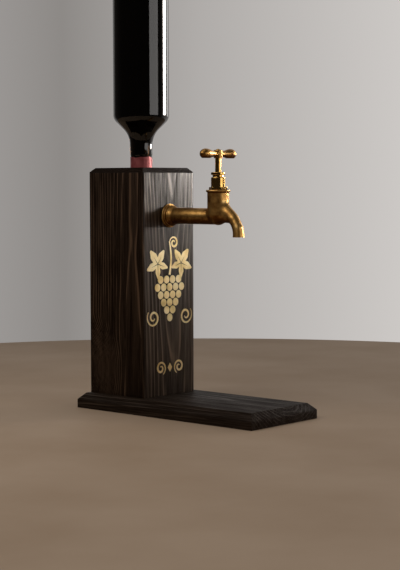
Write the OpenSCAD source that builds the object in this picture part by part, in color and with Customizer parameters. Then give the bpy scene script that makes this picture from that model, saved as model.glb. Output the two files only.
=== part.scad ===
// Table stand that pours from an upturned bottle through a brass bib tap.
// Millimetres. X runs to the right, the tap points to -Y and Z is up.
// The origin is the centre of the underside of the base board.

/* [Base board] */
// Width of the base board, side to side
base_w = 132; // [125:1:180]
// Length of the base board, front to back
base_l = 302; // [270:1:360]
// Thickness of the base board
base_t = 20; // [16:1:28]
// Bevel round the top edge of the base board
base_bevel = 8.6; // [2:0.2:12]

/* [Tower boards] */
// Width of the tower, side to side
tower_w = 100; // [94:1:120]
// Depth of the tower, front to back
tower_d = 100; // [92:1:116]
// Height of the tower above the base board
tower_h = 300; // [270:1:340]
// Distance from the back of the tower to the back end of the base board
tower_inset = 8; // [6:1:20]
// Thickness of the four wall boards
wall_t = 16; // [13:0.5:18]
// Thickness of the top board
top_t = 18; // [14:1:24]
// Thickness of the foot block inside the bottom of the tower
foot_t = 18; // [15:1:28]
// Bevel round the top edge of the tower
top_bevel = 6.8; // [1:0.2:10]
// Radius of the upright corners of the tower
corner_r = 4; // [1:0.5:8]

/* [Wood screws] */
// Shank diameter of the wood screws
screw_d = 4; // [3:0.5:5]
// Head diameter of the wood screws
screw_head_d = 8; // [6.5:0.5:10]
// Height of the cone under a screw head
screw_head_h = 2.6; // [2:0.2:3.6]
// Length of the screws that come up through the base board
base_screw_l = 32; // [26:1:34]
// Length of the screws that hold the back board
back_screw_l = 30; // [24:1:36]
// Length of the cross recess in a screw head
recess_l = 4; // [3:0.2:5]
// Width of the cross recess in a screw head
recess_w = 0.8; // [0.6:0.1:1.2]
// Depth of the cross recess in a screw head
recess_h = 1.3; // [0.8:0.1:2]
// How far the screw heads lie below the wood
screw_sink = 0.5; // [0.2:0.1:1.5]
// Distance from the middle of the tower to each base screw, side to side
base_screw_x = 16; // [12:0.5:17]
// Distance from the middle of the tower to each base screw, front to back
base_screw_y = 22; // [14:0.5:23]
// Distance from the middle of the tower to each back screw, side to side
back_screw_x = 24; // [23:0.5:26]

/* [Gold ornament] */
// Height of the gold work above the wood
foil_t = 0.5; // [0.3:0.1:1]
// Distance from the pipe axis down to the middle of the vine ornament
vine_drop = 97; // [94:1:104]
// Height of the top row of grapes above the middle of the ornament
top_row_rise = 13; // [8:0.5:16]
// Diameter of a grape
grape_d = 10.4; // [8:0.2:11]
// Distance between the middles of neighbouring grapes
grape_pitch = 11.6; // [11.2:0.2:13]
// Radius of a vine leaf to the tip of its middle lobe
leaf_r = 22; // [16:1:23]
// Distance from the middle to the middle of each leaf, side to side
leaf_x = 22.7; // [20:0.1:26]
// Distance from the top row of grapes up to the middle of the leaves
leaf_rise = 20.9; // [18:0.1:26]
// How far the leaves lean outwards
leaf_lean = 38; // [20:1:60]
// Length of the stalk between the leaves
stalk_l = 44; // [34:1:50]
// Radius of the tendril beside the stalk
tendril_r = 8.4; // [6:0.1:10]
// Radius of the scrolls beside the bunch
side_scroll_r = 12.2; // [9:0.1:14]
// Distance from the middle to the middle of each side scroll
side_scroll_x = 31.6; // [28:0.1:33]
// Distance from the middle of the ornament down to the side scrolls
side_scroll_drop = 36; // [30:0.5:42]
// Width of the lines of stalk, tendril and scrolls
line_w = 2.4; // [1.4:0.2:3.2]
// Height of the middle of the lower scrolls above the base board
scroll_z = 36.5; // [28:0.5:50]
// Radius of each lower scroll
scroll_r = 9.5; // [7:0.5:12]
// Distance from the middle to the middle of each lower scroll
scroll_x = 17.6; // [15:0.1:22]
// Height of the lozenge between the lower scrolls
gem_h = 11.8; // [8:0.2:14]
// Width of the lozenge between the lower scrolls
gem_w = 8.2; // [6:0.2:10]

/* [Tap body] */
// Distance from the front of the tower to the upright axis of the tap
tap_reach = 85; // [70:1:100]
// Diameter of the level pipe
pipe_d = 21; // [20:0.5:23]
// Diameter of the threaded shank that goes through the front board
shank_d = 20.9; // [18:0.1:21]
// Diameter of the water way
way_d = 9; // [7:0.5:9.5]
// Diameter of the upright barrel
barrel_d = 28; // [27:0.5:32]
// Distance from the pipe axis down to the bottom of the barrel
barrel_drop = 5; // [4.8:0.1:10]
// How far the round bottom of the barrel stands out from the pipe
bulb_out = 0.7; // [0:0.1:1.5]
// Radius of the lower edge of the barrel
barrel_edge_r = 8; // [4:0.5:9]
// Distance from the pipe axis up to the top of the rim
barrel_rise = 34; // [34:0.5:40]
// Diameter of the rim at the top of the barrel
rim_d = 31.5; // [29.5:0.5:36]
// Thickness of the rim
rim_t = 3; // [2:0.2:5]
// Diameter of the valve chamber
chamber_d = 20; // [19:0.5:21]
// Distance from the pipe axis up to the floor of the valve chamber
chamber_rise = 7; // [6.6:0.1:8]
// Height of the valve seat above the chamber floor
seat_h = 2.5; // [1.5:0.1:3]
// Width of the valve seat's ring
seat_w = 2.3; // [1.5:0.1:2.6]

/* [Spout] */
// Distance from the axis of the tap forward to the middle of the outlet
spout_reach = 34; // [32:0.2:44]
// Distance from the pipe axis down to the outlet
spout_drop = 26; // [20:0.2:32]
// Radius of the bend of the spout
spout_bend_r = 35; // [30:1:38]
// Angle that the bend turns through
spout_bend_a = 47; // [40:1:52]
// Outer diameter of the spout
spout_d = 13.8; // [12.4:0.2:15]
// Outer diameter of the spout at the outlet
spout_end_d = 14.4; // [14.2:0.2:18]
// Height of the flare above the outlet
spout_flare_h = 11; // [6:0.5:14]
// Diameter of the flare at its top, which lies inside the spout
spout_flare_d = 11; // [10:0.1:11.8]
// Diameter of the bore at the outlet
outlet_d = 10; // [9.6:0.1:11]
// Depth of the straight bore at the outlet
outlet_h = 6; // [4:0.5:8]
// Diameter of the thick root of the spout inside the barrel
root_d = 20; // [16:0.5:22]
// Diameter at which the root runs out inside the spout
root_end_d = 10.8; // [10:0.1:11.6]
// Distance from the axis of the tap forward to the start of the root
root_in = 6; // [2:0.5:9]
// Distance from the pipe axis up to the start of the root
root_rise = 5; // [3:0.5:8]
// Distance from the end of the root to the start of the bend
root_out = 3.6; // [3:0.1:6]
// Diameter of the throat under the root, inside the barrel
throat_d = 15.2; // [12:0.2:17]
// Diameter at which the throat runs out inside the bend
throat_end_d = 12.4; // [11:0.2:13]
// Angle of the bend at which the throat runs out
throat_a = 42; // [34:1:46]

/* [Wall flange and back nut] */
// Diameter of the wall flange
flange_d = 31.4; // [30.6:0.1:38]
// Thickness of the wall flange, its bead included
flange_t = 4.2; // [3.6:0.1:6]
// Thickness of the wall flange's disc, without its bead
flange_disc_t = 2; // [1.8:0.1:2.6]
// Diameter of the collar on the pipe that holds the wall flange
pipe_collar_d = 26.6; // [25.6:0.1:27.4]
// Length of the collar with the hollow that runs out into the pipe
pipe_collar_l = 8.3; // [6:0.1:14]
// Thickness of the washers on the shank and tail
washer_t = 1.5; // [1:0.1:1.7]
// Outer diameter of the rubber washer behind the wall flange
wall_washer_d = 26; // [24:0.5:28]
// Outer diameter of the backing washer inside the tower
backing_d = 31; // [30:0.5:34]
// Width across the flats of the back nut
nut_af = 27; // [26:0.5:30]
// Thickness of the back nut
nut_t = 7; // [5:0.5:8]

/* [Elbow and stopper] */
// Outer diameter of the elbow
elbow_d = 18; // [17:0.5:20]
// Diameter of the tail of the tap inside the elbow
tail_d = 13.1; // [12.4:0.1:13.6]
// How far the tail goes into the elbow
tail_l = 11; // [8:0.5:12]
// Diameter of the elbow's upright tube
tube_d = 8.4; // [8:0.2:8.8]
// Bore of the elbow's upright tube
tube_bore_d = 6; // [5:0.2:6.6]
// How far the tube stands above the flange of the stopper
tube_rise = 12; // [8:1:18]
// Distance between the elbow and the socket block above it
elbow_gap = 1; // [0.5:0.1:3]
// Diameter of the flange of the rubber stopper
stopper_flange_d = 28.8; // [27:0.2:29.4]
// Thickness of the flange of the stopper
stopper_flange_t = 5; // [3:0.5:7]
// Length of the plug of the stopper inside the bottle's mouth
plug_l = 20; // [18:1:30]
// How much narrower the plug is at its end than at its flange
plug_taper = 0.8; // [0.2:0.1:0.9]
// Outer diameter of the air tube
vent_d = 2.5; // [2:0.1:2.6]
// Bore of the air tube
vent_bore_d = 1.6; // [1:0.1:1.6]
// Distance from the bottle's axis to the axis of the air tube
vent_x = 6.4; // [6.2:0.1:6.6]
// Distance from the end of the air tube to the bottom of the bottle
vent_end_gap = 35; // [30:1:120]

/* [Bottle socket] */
// Diameter of the bore that takes the neck of the bottle
socket_d = 31.2; // [30.6:0.1:34]
// Depth from the tower's top to the mouth of the bottle
neck_depth = 39; // [30:1:44]
// Thickness of the ledge under the stopper
ledge_t = 9; // [5:0.5:14]
// Diameter of the hole through the ledge
ledge_d = 18; // [17:0.5:22]

/* [Bonnet and gland] */
// Width across the flats of the bonnet's six-sided collar
collar_af = 21; // [20.4:0.2:26]
// Thickness of the six-sided collar
collar_t = 3.4; // [2.4:0.2:6]
// Diameter of the bonnet
bonnet_d = 18.4; // [16.8:0.2:20]
// Height of the bonnet above its collar
bonnet_h = 12.7; // [12:0.1:16]
// Diameter of the bonnet's neck
neck_d = 14.4; // [13.8:0.2:16]
// Height of the bonnet's neck
neck_h = 2.8; // [2:0.2:4]
// Diameter of the thread between bonnet and barrel
bonnet_thread_d = 21; // [20:0.1:22]
// Length of the thread between bonnet and barrel
bonnet_thread_l = 13; // [9:0.5:13]
// Thickness of the washer under the collar
bonnet_washer_t = 0.8; // [0.5:0.1:1.5]
// Width of the washer under the collar
bonnet_washer_w = 1.3; // [1:0.1:1.6]
// Diameter of the gland nut
gland_d = 18.4; // [16:0.2:20]
// Thickness of the head of the gland nut
gland_t = 3.6; // [2.5:0.1:6]
// Length of the thread of the gland nut
gland_thread_l = 5.4; // [3:0.2:5.6]
// Bore of the stuffing box
stuffing_d = 12; // [11:0.1:12.4]
// Thickness of the washer under the packing
gland_washer_t = 1; // [0.6:0.1:1.5]

/* [Spindle and valve] */
// Diameter of the spindle
spindle_d = 7.8; // [7.4:0.1:8.6]
// Length of spindle between the gland nut and the handle, tap shut
spindle_show = 17.7; // [10:0.1:26]
// Diameter of the spindle's thread
spindle_thread_d = 12.6; // [11.6:0.1:13]
// Length of the spindle's thread
spindle_thread_l = 19; // [12:0.5:19.5]
// Lift of the valve from shut to fully open
lift = 5; // [3:0.5:5.5]
// Diameter of the valve disc
disc_d = 15; // [13.6:0.2:16]
// Thickness of the valve disc
disc_t = 2.5; // [1.5:0.1:3]
// Diameter of the valve's stem
stem_d = 4.8; // [4:0.1:6]
// Length of the valve's stem
stem_l = 11; // [8:0.5:14]
// Thickness of the valve's rubber washer
seal_t = 3; // [2:0.1:4]
// Diameter of the pin that holds the rubber washer
pin_d = 3.2; // [2.6:0.1:3.6]
// Thickness of the small nut under the rubber washer
small_nut_t = 2; // [1.5:0.1:2.6]
// Width across the flats of the small nut
small_nut_af = 6; // [5:0.1:6.4]

/* [Handle] */
// Length of the handle
handle_l = 66; // [56:0.5:76]
// Diameter of the handle's hub
hub_d = 11.2; // [10:0.2:13]
// Height of the handle's hub
hub_h = 10.6; // [9:0.1:14]
// Height of the handle's axis above the bottom of the hub
arm_rise = 5.4; // [4.6:0.1:6]
// Greatest diameter of the handle's lobes
lobe_d = 13.4; // [10:0.1:14]
// Distance from the hub's axis to the thickest place of a lobe
lobe_out = 24.1; // [19:0.1:26]
// Diameter of the arm beside the hub
arm_d = 7.6; // [6:0.1:8.4]
// Diameter of the spindle's tenon inside the hub
tenon_d = 6.4; // [5.4:0.1:7]
// Length of the spindle's tenon
tenon_l = 8; // [6:0.1:8.4]
// Head diameter of the handle's screw
cap_screw_d = 6; // [5:0.1:7.4]
// Height of the domed head of the handle's screw
cap_screw_h = 1.4; // [1:0.1:2.4]
// Shank diameter of the handle's screw
cap_shank_d = 3.2; // [2.6:0.1:4]

/* [Bottle] */
// Height of the bottle
bottle_h = 300; // [280:1:330]
// Diameter of the bottle's body
bottle_d = 75; // [70:1:82]
// Diameter of the glass neck at the edge of the capsule
bottle_neck_d = 28.8; // [28:0.1:30]
// How much narrower the neck is at its mouth than at the edge of the capsule
neck_taper = 1.4; // [0.4:0.1:2]
// Diameter of the glass neck where it meets the shoulder
neck_root_d = 30.6; // [30:0.1:32]
// Diameter of the ring at the mouth
lip_d = 28.8; // [28.6:0.1:29.4]
// Height of the ring at the mouth
lip_h = 6; // [3:0.5:14]
// Bore of the mouth and neck
mouth_d = 18.5; // [18.3:0.1:19.4]
// Length of the neck from the mouth to the start of the shoulder
bottle_neck_l = 70; // [66:1:80]
// Radius of the hollow curve between neck and shoulder
sweep_r = 28; // [20:1:34]
// Radius of the full curve between shoulder and body
round_r = 14; // [8:1:24]
// Thickness of the glass of the body
glass_t = 3; // [2:0.1:4]
// Radius of the bottle's heel
heel_r = 7; // [4:0.5:12]
// Depth of the hollow in the bottle's bottom
punt_h = 20; // [6:1:26]
// Diameter of the hollow in the bottle's bottom
punt_d = 48; // [36:1:52]
// Length of the foil capsule from the mouth
capsule_l = 54; // [42:1:62]
// Thickness of the foil capsule
capsule_t = 0.3; // [0.2:0.1:0.5]

/* [Hidden] */
$fn = 96;

// Clearances: threads, shafts and close fits, then loose pieces, then the overshoot of a cut
fit = 0.05;
loose = 0.3;
cut = 1;

// Tower
tower_front = base_l / 2 - tower_inset - tower_d;
tower_mid = tower_front + tower_d / 2;
tower_back = tower_front + tower_d;
tower_top = base_t + tower_h;
inner_w = tower_w - 2 * wall_t;
inner_d = tower_d - 2 * wall_t;
inner_front = tower_front + wall_t;
inner_back = tower_back - wall_t;
top_under = tower_top - top_t;

// Bottle socket, elbow and pipe hang from the tower's top one below the other
mouth_z = tower_top - neck_depth;
ledge_z = mouth_z - stopper_flange_t;
block_under = ledge_z - ledge_t;
pipe_z = block_under - elbow_gap - elbow_d / 2;

// Tap
tap_y = tower_front - tap_reach;
barrel_z = pipe_z - barrel_drop;
rim_z = pipe_z + barrel_rise;
floor_z = pipe_z + chamber_rise;
seat_z = floor_z + seat_h;
shoulder_y = tower_front - flange_t;
nut_y = inner_front + washer_t;
shank_end = nut_y + nut_t + cut;
elbow_y = shank_end + washer_t;
outlet_z = pipe_z - spout_drop;
outlet_y = tap_y - spout_reach;
vine_z = pipe_z - vine_drop;

// Bonnet and gland
bonnet_z = rim_z + collar_t;
neck_z = bonnet_z + bonnet_h;
gland_z = neck_z + neck_h;
gland_top = gland_z + gland_t;
hub_z = gland_top + spindle_show;
thread_under = rim_z - bonnet_thread_l;
packing_top = gland_z - gland_thread_l;

// Valve and spindle, tap shut
disc_z = seat_z + seal_t;
spindle_z = disc_z + disc_t;
thread_top = spindle_z + spindle_thread_l;
stop_z = thread_top + lift + cut;
stuffing_z = stop_z + 2 * gland_washer_t;

// Bottle: the shoulder is a cone at this angle between a hollow curve and a full one
shoulder_a = 46;
neck_r = bottle_neck_d / 2;
body_r = bottle_d / 2;
sweep_z = mouth_z + bottle_neck_l;
join_r = neck_root_d / 2 + sweep_r * (1 - cos(shoulder_a));
join_z = sweep_z + sweep_r * sin(shoulder_a);
cone_r = body_r - round_r * (1 - cos(shoulder_a));
body_z = join_z + (cone_r - join_r) / tan(shoulder_a) + round_r * sin(shoulder_a);
bottle_top = mouth_z + bottle_h;
foot_z = bottle_top - punt_h - 2 * glass_t;
function neck_at(up) = neck_r - neck_taper / 2 * (1 - up / capsule_l);

// Points along an arc about c, in a plane
function arc(c, r, a0, a1, n = 8) =
    [for (i = [0:n]) let (a = a0 + (a1 - a0) * i / n) c + r * [cos(a), sin(a)]];

// Block that is centred on X and Y, stands on Z = 0 and has a bevel round its top edge
module bevelled_block(w, l, h, bevel) {
    diamond = [[-bevel, 0], [0, bevel], [bevel, 0], [0, -bevel]];
    difference() {
        translate([-w / 2, -l / 2, 0]) cube([w, l, h]);
        for (s = [-1, 1]) {
            translate([0, s * l / 2, h]) rotate([0, 90, 0])
                linear_extrude(w + 2 * cut, center = true) polygon(diamond);
            translate([s * w / 2, 0, h]) rotate([90, 0, 0])
                linear_extrude(l + 2 * cut, center = true) polygon(diamond);
        }
    }
}

// Outer form of the tower, which all four wall boards share
module tower_form() {
    difference() {
        translate([0, tower_mid, base_t]) bevelled_block(tower_w, tower_d, tower_h, top_bevel);
        for (sx = [-1, 1], sy = [-1, 1])
            translate([sx * (tower_w / 2 - corner_r), tower_mid + sy * (tower_d / 2 - corner_r), 0])
                difference() {
                    translate([min(0, sx * (corner_r + cut)), min(0, sy * (corner_r + cut)), 0])
                        cube([corner_r + cut, corner_r + cut, tower_top + cut]);
                    translate([0, 0, -cut]) cylinder(h = tower_top + 3 * cut, r = corner_r);
                }
    }
}

// One wall board: the part of the tower form that lies over an outline
module wall_board(outline) {
    intersection() {
        tower_form();
        translate([0, 0, base_t - cut]) linear_extrude(tower_h + 2 * cut) polygon(outline);
    }
}

// Countersunk wood screw along +Z with its head at Z = 0, or the hole for it with a gap
module wood_screw(l, gap = 0) {
    r = screw_d / 2 + gap;
    union() {
        cylinder(h = screw_head_h, r1 = screw_head_d / 2 + gap, r2 = r);
        cylinder(h = l - screw_d + gap, r = r);
        translate([0, 0, l - screw_d + gap]) cylinder(h = screw_d, r1 = r, r2 = r / 4);
        if (gap > 0)
            translate([0, 0, -screw_sink - cut])
                cylinder(h = screw_sink + cut + gap, r = screw_head_d / 2 + gap);
    }
}

// Cross recess in a screw head
module cross_recess() {
    for (a = [0, 90])
        rotate([0, 0, a]) cube([recess_l, recess_w, 2 * recess_h], center = true);
}

// Places of the four base screws and of the four back screws
module at_base_screws() {
    for (sx = [-1, 1], sy = [-1, 1])
        translate([sx * base_screw_x, tower_mid + sy * base_screw_y, screw_sink]) children();
}

module at_back_screws() {
    for (sx = [-1, 1], z = [base_t + foot_t / 2, (block_under + top_under) / 2])
        translate([sx * back_screw_x, tower_back - screw_sink, z]) rotate([90, 0, 0]) children();
}

// Turned piece about the pipe axis: local Z runs from y towards the tap's front
module on_pipe(y) {
    translate([0, y, pipe_z]) rotate([90, 0, 0]) children();
}

// Turned piece about the upright axis of the tap, and about the axis of the bottle
module on_tap(z) {
    translate([0, tap_y, z]) children();
}

module on_bottle(z) {
    translate([0, tower_mid, z]) children();
}

// Ring that stands on Z = 0
module ring(r_in, r_out, h) {
    difference() {
        cylinder(h = h, r = r_out);
        translate([0, 0, -cut]) cylinder(h = h + 2 * cut, r = r_in);
    }
}

// Six-sided block that stands on Z = 0, with its upper corners turned off, and a nut made of it
module hex_block(af, h) {
    corner = af / sqrt(3);
    crown = 0.96;
    intersection() {
        rotate([0, 0, 30]) cylinder(h = h, r = corner, $fn = 6);
        cylinder(h = h, r1 = corner + h / 2, r2 = corner * crown);
    }
}

module nut(af, h, r_in) {
    difference() {
        hex_block(af, h);
        translate([0, 0, -cut]) cylinder(h = h + 2 * cut, r = r_in);
    }
}

// Line of changing width along points, each [x, y, width], as one outline
function side(path, s) = [for (i = [0:len(path) - 1])
    let (a = path[max(i - 1, 0)], b = path[min(i + 1, len(path) - 1)],
        d = [b[0] - a[0], b[1] - a[1]], n = [-d[1], d[0]] / norm(d))
    [path[i][0], path[i][1]] + s * n * path[i][2] / 2];
function reversed(v) = [for (i = [len(v) - 1:-1:0]) v[i]];
module line(path) {
    polygon(concat(side(path, 1), reversed(side(path, -1))));
}

// Spiral line about the origin that starts at angle a0, turns through turn and opens out to r
module spiral(r, a0, turn) {
    steps = 28;
    eye = 0.2;
    thin = 0.5;
    swell = 0.7;
    line([for (i = [0:steps]) let (t = i / steps, at = r * (eye + (1 - eye) * t), a = a0 + turn * t)
        [at * cos(a), at * sin(a), line_w * (thin + swell * sin(180 * t))]]);
}

// Vine leaf about the origin, its middle lobe along +Y, split by its veins. The edge is a circle
// with waves on it: five lobes, small teeth on each, and a longer middle lobe
function leaf_at(a, body = 0.66, lobe = 0.26, tooth = 0.05, tip = 0.08) =
    body + lobe * cos(5 * a) + tooth * cos(15 * a) + tip * cos(a);
module leaf(r) {
    vein = line_w * 0.3;
    vein_l = r * 0.72;
    difference() {
        polygon([for (a = [0:5:355]) r * leaf_at(a) * [sin(a), cos(a)]]);
        for (a = [-144:72:144]) rotate(-a) polygon([[-vein, -vein], [vein, -vein], [0, vein_l]]);
    }
}

module base_board() {
    color([0.16, 0.13, 0.10]) difference() {
        bevelled_block(base_w, base_l, base_t, base_bevel);
        at_base_screws() wood_screw(base_screw_l, fit);
    }
}

module front_board() {
    e = cut;
    color([0.33, 0.30, 0.27]) difference() {
        wall_board([[-tower_w / 2 - e, tower_front - e], [tower_w / 2 + e, tower_front - e],
            [inner_w / 2, inner_front], [-inner_w / 2, inner_front]]);
        on_pipe(inner_front + cut) cylinder(h = wall_t + 2 * cut, r = shank_d / 2 + loose);
    }
}

// A side board: s is -1 for the left and 1 for the right
module side_board(s) {
    e = cut;
    color([0.17, 0.13, 0.09]) wall_board([[s * (tower_w / 2 + e), tower_front - e],
        [s * (tower_w / 2 + e), tower_back + e], [s * inner_w / 2, tower_back + e],
        [s * inner_w / 2, inner_front]]);
}

module left_board() {
    side_board(-1);
}

module right_board() {
    side_board(1);
}

module back_board() {
    color([0.20, 0.15, 0.11]) difference() {
        wall_board([[-inner_w / 2, inner_back], [inner_w / 2, inner_back],
            [inner_w / 2, tower_back + cut], [-inner_w / 2, tower_back + cut]]);
        at_back_screws() wood_screw(back_screw_l, fit);
    }
}

// Block that fills the inside of the tower from z up
module inner_block(z, h) {
    translate([-inner_w / 2, inner_front, z]) cube([inner_w, inner_d, h]);
}

module top_board() {
    color([0.16, 0.12, 0.09]) difference() {
        inner_block(top_under, top_t);
        on_bottle(top_under - cut) cylinder(h = top_t + 2 * cut, d = socket_d);
    }
}

module socket_block() {
    color([0.60, 0.47, 0.31]) difference() {
        inner_block(block_under, top_under - block_under);
        translate([-inner_w / 2 - cut, inner_front - cut, block_under - cut])
            cube([inner_w + 2 * cut, shank_end + loose - inner_front + cut,
                pipe_z + backing_d / 2 + loose - block_under + cut]);
        on_bottle(ledge_z) cylinder(h = top_under - ledge_z + cut, d = socket_d);
        on_bottle(block_under - cut) cylinder(h = ledge_t + 2 * cut, d = ledge_d);
        at_back_screws() wood_screw(back_screw_l, fit);
    }
}

module foot_block() {
    color([0.60, 0.47, 0.31]) difference() {
        inner_block(base_t, foot_t);
        at_base_screws() wood_screw(base_screw_l, fit);
        at_back_screws() wood_screw(back_screw_l, fit);
    }
}

module base_screws() {
    color([0.70, 0.68, 0.62]) at_base_screws() difference() {
        wood_screw(base_screw_l);
        cross_recess();
    }
}

module back_screws() {
    color([0.45, 0.36, 0.20]) at_back_screws() difference() {
        wood_screw(back_screw_l);
        cross_recess();
    }
}

// Flat gold work on the face of the front board, with its origin at height z
module on_front(z) {
    translate([0, tower_front, z]) rotate([90, 0, 0]) linear_extrude(foil_t) children();
}

// Bunch of grapes under two vine leaves, with a stalk and tendril above and a scroll on each side
module front_ornament() {
    rows = [4, 5, 4, 3, 2, 1];
    row_h = grape_pitch * sin(60);
    stalk_y = top_row_rise + grape_d / 2 + cut;
    stalk_bow = 3;
    stalk_foot = 1.5;
    stalk_tip = 0.9;
    color([0.91, 0.83, 0.67]) {
        for (j = [0:len(rows) - 1], i = [0:rows[j] - 1])
            on_front(vine_z) translate([(i - (rows[j] - 1) / 2) * grape_pitch, top_row_rise - j * row_h])
                circle(d = grape_d);
        for (s = [-1, 1]) {
            on_front(vine_z) translate([s * leaf_x, top_row_rise + leaf_rise])
                rotate(-s * leaf_lean) leaf(leaf_r);
            on_front(vine_z) translate([s * side_scroll_x, -side_scroll_drop])
                scale([s, 1]) spiral(side_scroll_r, 200, 560);
        }
        on_front(vine_z) line([for (t = [0:0.1:1]) [stalk_bow * sin(180 * t), stalk_y + t * stalk_l,
            line_w * (stalk_foot + (stalk_tip - stalk_foot) * t)]]);
        on_front(vine_z) translate([tendril_r, stalk_y + stalk_l - 2 * cut])
            spiral(tendril_r, 20, 520);
    }
}

// Two scrolls with a lozenge between them
module lower_ornament() {
    z = base_t + scroll_z;
    color([0.91, 0.83, 0.67]) {
        on_front(z) polygon([[-gem_w / 2, 0], [0, gem_h / 2], [gem_w / 2, 0], [0, -gem_h / 2]]);
        for (s = [-1, 1]) on_front(z) translate([s * scroll_x, 0])
            scale([s, 1]) spiral(scroll_r, 60, 540);
    }
}

// Centre line of the spout: the bend's middle, and a point s along the line that leaves the bend
bend_y = outlet_y + spout_bend_r;
slope_y = bend_y - spout_bend_r * cos(spout_bend_a);
slope_z = outlet_z + spout_bend_r * sin(spout_bend_a);
function on_slope(s) = [0, slope_y + s * sin(spout_bend_a), slope_z + s * cos(spout_bend_a)];

// Bent tube of radius r from the outlet, and a straight one that goes on into the barrel
module spout_way(r, on) {
    translate([0, bend_y, outlet_z]) rotate([90, 0, -90]) rotate_extrude(angle = spout_bend_a)
        translate([spout_bend_r, 0]) circle(r = r, $fn = 48);
    translate(on_slope(-loose)) rotate([-spout_bend_a, 0, 0]) cylinder(h = on + loose, r = r - fit);
}

// Outline of the collar on the pipe: a bead whose front runs out in a hollow
function pipe_collar_outline() = let (bead = 2, r = pipe_collar_d / 2, p = pipe_d / 2,
    hollow_h = r - p - bead / 2, hollow_at = 1.8 * bead, hollow_l = pipe_collar_l - hollow_at)
    concat([[0, 0]], arc([r - bead, bead], bead, -70, 50, 6),
        [for (i = [1:6]) let (t = i / 6)
            [p + hollow_h * (1 + cos(180 * t)) / 2, hollow_at + hollow_l * t]],
        [[0, pipe_collar_l]]);

// Cast body: shank, pipe, barrel and spout, with the water way and the valve seat inside
module tap_body() {
    slope_l = (spout_reach - spout_bend_r + spout_bend_r * cos(spout_bend_a)) / sin(spout_bend_a);
    root_at = [0, tap_y - root_in, pipe_z + root_rise];
    root_run = on_slope(root_out) - root_at;
    root_a = 90 + atan(root_run[2] / root_run[1]);
    throat_at = [0, tap_y - root_in, pipe_z];
    throat_run = [0, bend_y - spout_bend_r * cos(throat_a), outlet_z + spout_bend_r * sin(throat_a)]
        - throat_at;
    chamber_r = chamber_d / 2;
    way_r = way_d / 2;
    e = barrel_edge_r;
    color([0.55, 0.42, 0.20]) difference() {
        union() {
            on_pipe(shoulder_y) cylinder(h = shoulder_y - tap_y, d = pipe_d);
            on_pipe(shoulder_y) rotate_extrude() polygon(pipe_collar_outline());
            on_pipe(shank_end) cylinder(h = shank_end - shoulder_y, d = shank_d);
            on_pipe(elbow_y + tail_l) cylinder(h = elbow_y + tail_l - shank_end, d = tail_d);
            on_tap(pipe_z) sphere(r = pipe_d / 2 + bulb_out);
            on_tap(barrel_z) rotate_extrude() polygon(concat([[0, rim_z - barrel_z], [0, 0]],
                arc([barrel_d / 2 - e, e], e, -90, 0),
                [[barrel_d / 2, rim_z - barrel_z]]));
            on_tap(rim_z - rim_t) rotate_extrude() polygon(concat([[0, rim_t], [0, 0]],
                arc([(rim_d - rim_t) / 2, rim_t / 2], rim_t / 2, -90, 90)));
            spout_way(spout_d / 2, slope_l - chamber_r / 2);
            translate([0, outlet_y, outlet_z])
                cylinder(h = spout_flare_h, d1 = spout_end_d, d2 = spout_flare_d);
            translate(root_at) rotate([root_a, 0, 0])
                cylinder(h = norm(root_run), d1 = root_d, d2 = root_end_d);
            translate(throat_at) rotate([90 + atan(throat_run[2] / throat_run[1]), 0, 0])
                cylinder(h = norm(throat_run), d1 = throat_d, d2 = throat_end_d);
        }
        on_pipe(elbow_y + tail_l + cut) cylinder(h = elbow_y + tail_l + cut - tap_y, r = way_r);
        on_tap(pipe_z) sphere(r = way_r);
        on_tap(pipe_z) cylinder(h = rim_z - pipe_z, r = way_r);
        on_tap(floor_z) ring(way_r + seat_w, chamber_r, seat_h);
        on_tap(seat_z) cylinder(h = rim_z - seat_z + cut, r = chamber_r);
        on_tap(thread_under - cut / 2)
            cylinder(h = bonnet_thread_l + 2 * cut, r = bonnet_thread_d / 2 + fit);
        on_tap(rim_z - bonnet_washer_t) cylinder(h = bonnet_washer_t + cut,
            r = bonnet_thread_d / 2 + bonnet_washer_w + 2 * fit);
        spout_way(way_r, slope_l - chamber_r + way_r);
        translate([0, outlet_y, outlet_z - cut]) cylinder(h = outlet_h + cut, d = outlet_d);
    }
}

// Turned flange between wall and collar: a disc, a groove and a bead, hollow for its washer
module wall_flange() {
    r = flange_d / 2;
    bore = shank_d / 2 + fit;
    seat_r = wall_washer_d / 2 + fit;
    edge = flange_disc_t / 2;
    groove = 0.4;
    step = edge + 0.2;
    bead = (flange_t - flange_disc_t - groove) / 2;
    bead_r = r - step - bead;
    color([0.50, 0.36, 0.17]) on_pipe(tower_front) rotate_extrude() polygon(concat(
        [[bore, washer_t], [seat_r, washer_t], [seat_r, 0]],
        arc([r - edge, edge], edge, -90, 90, 6),
        arc([bead_r, flange_disc_t + groove + bead], bead, -90, 90, 6),
        [[bore, flange_t]]));
}

module wall_washer() {
    color([0.12, 0.12, 0.12]) on_pipe(tower_front) ring(shank_d / 2 + fit, wall_washer_d / 2, washer_t);
}

module backing_washer() {
    color([0.75, 0.62, 0.33]) on_pipe(nut_y) ring(shank_d / 2 + fit, backing_d / 2, washer_t);
}

module back_nut() {
    color([0.75, 0.62, 0.33]) on_pipe(nut_y + nut_t) nut(nut_af, nut_t, shank_d / 2 + fit);
}

module elbow_washer() {
    color([0.12, 0.12, 0.12]) on_pipe(elbow_y) ring(tail_d / 2 + fit, elbow_d / 2, washer_t);
}

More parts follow.
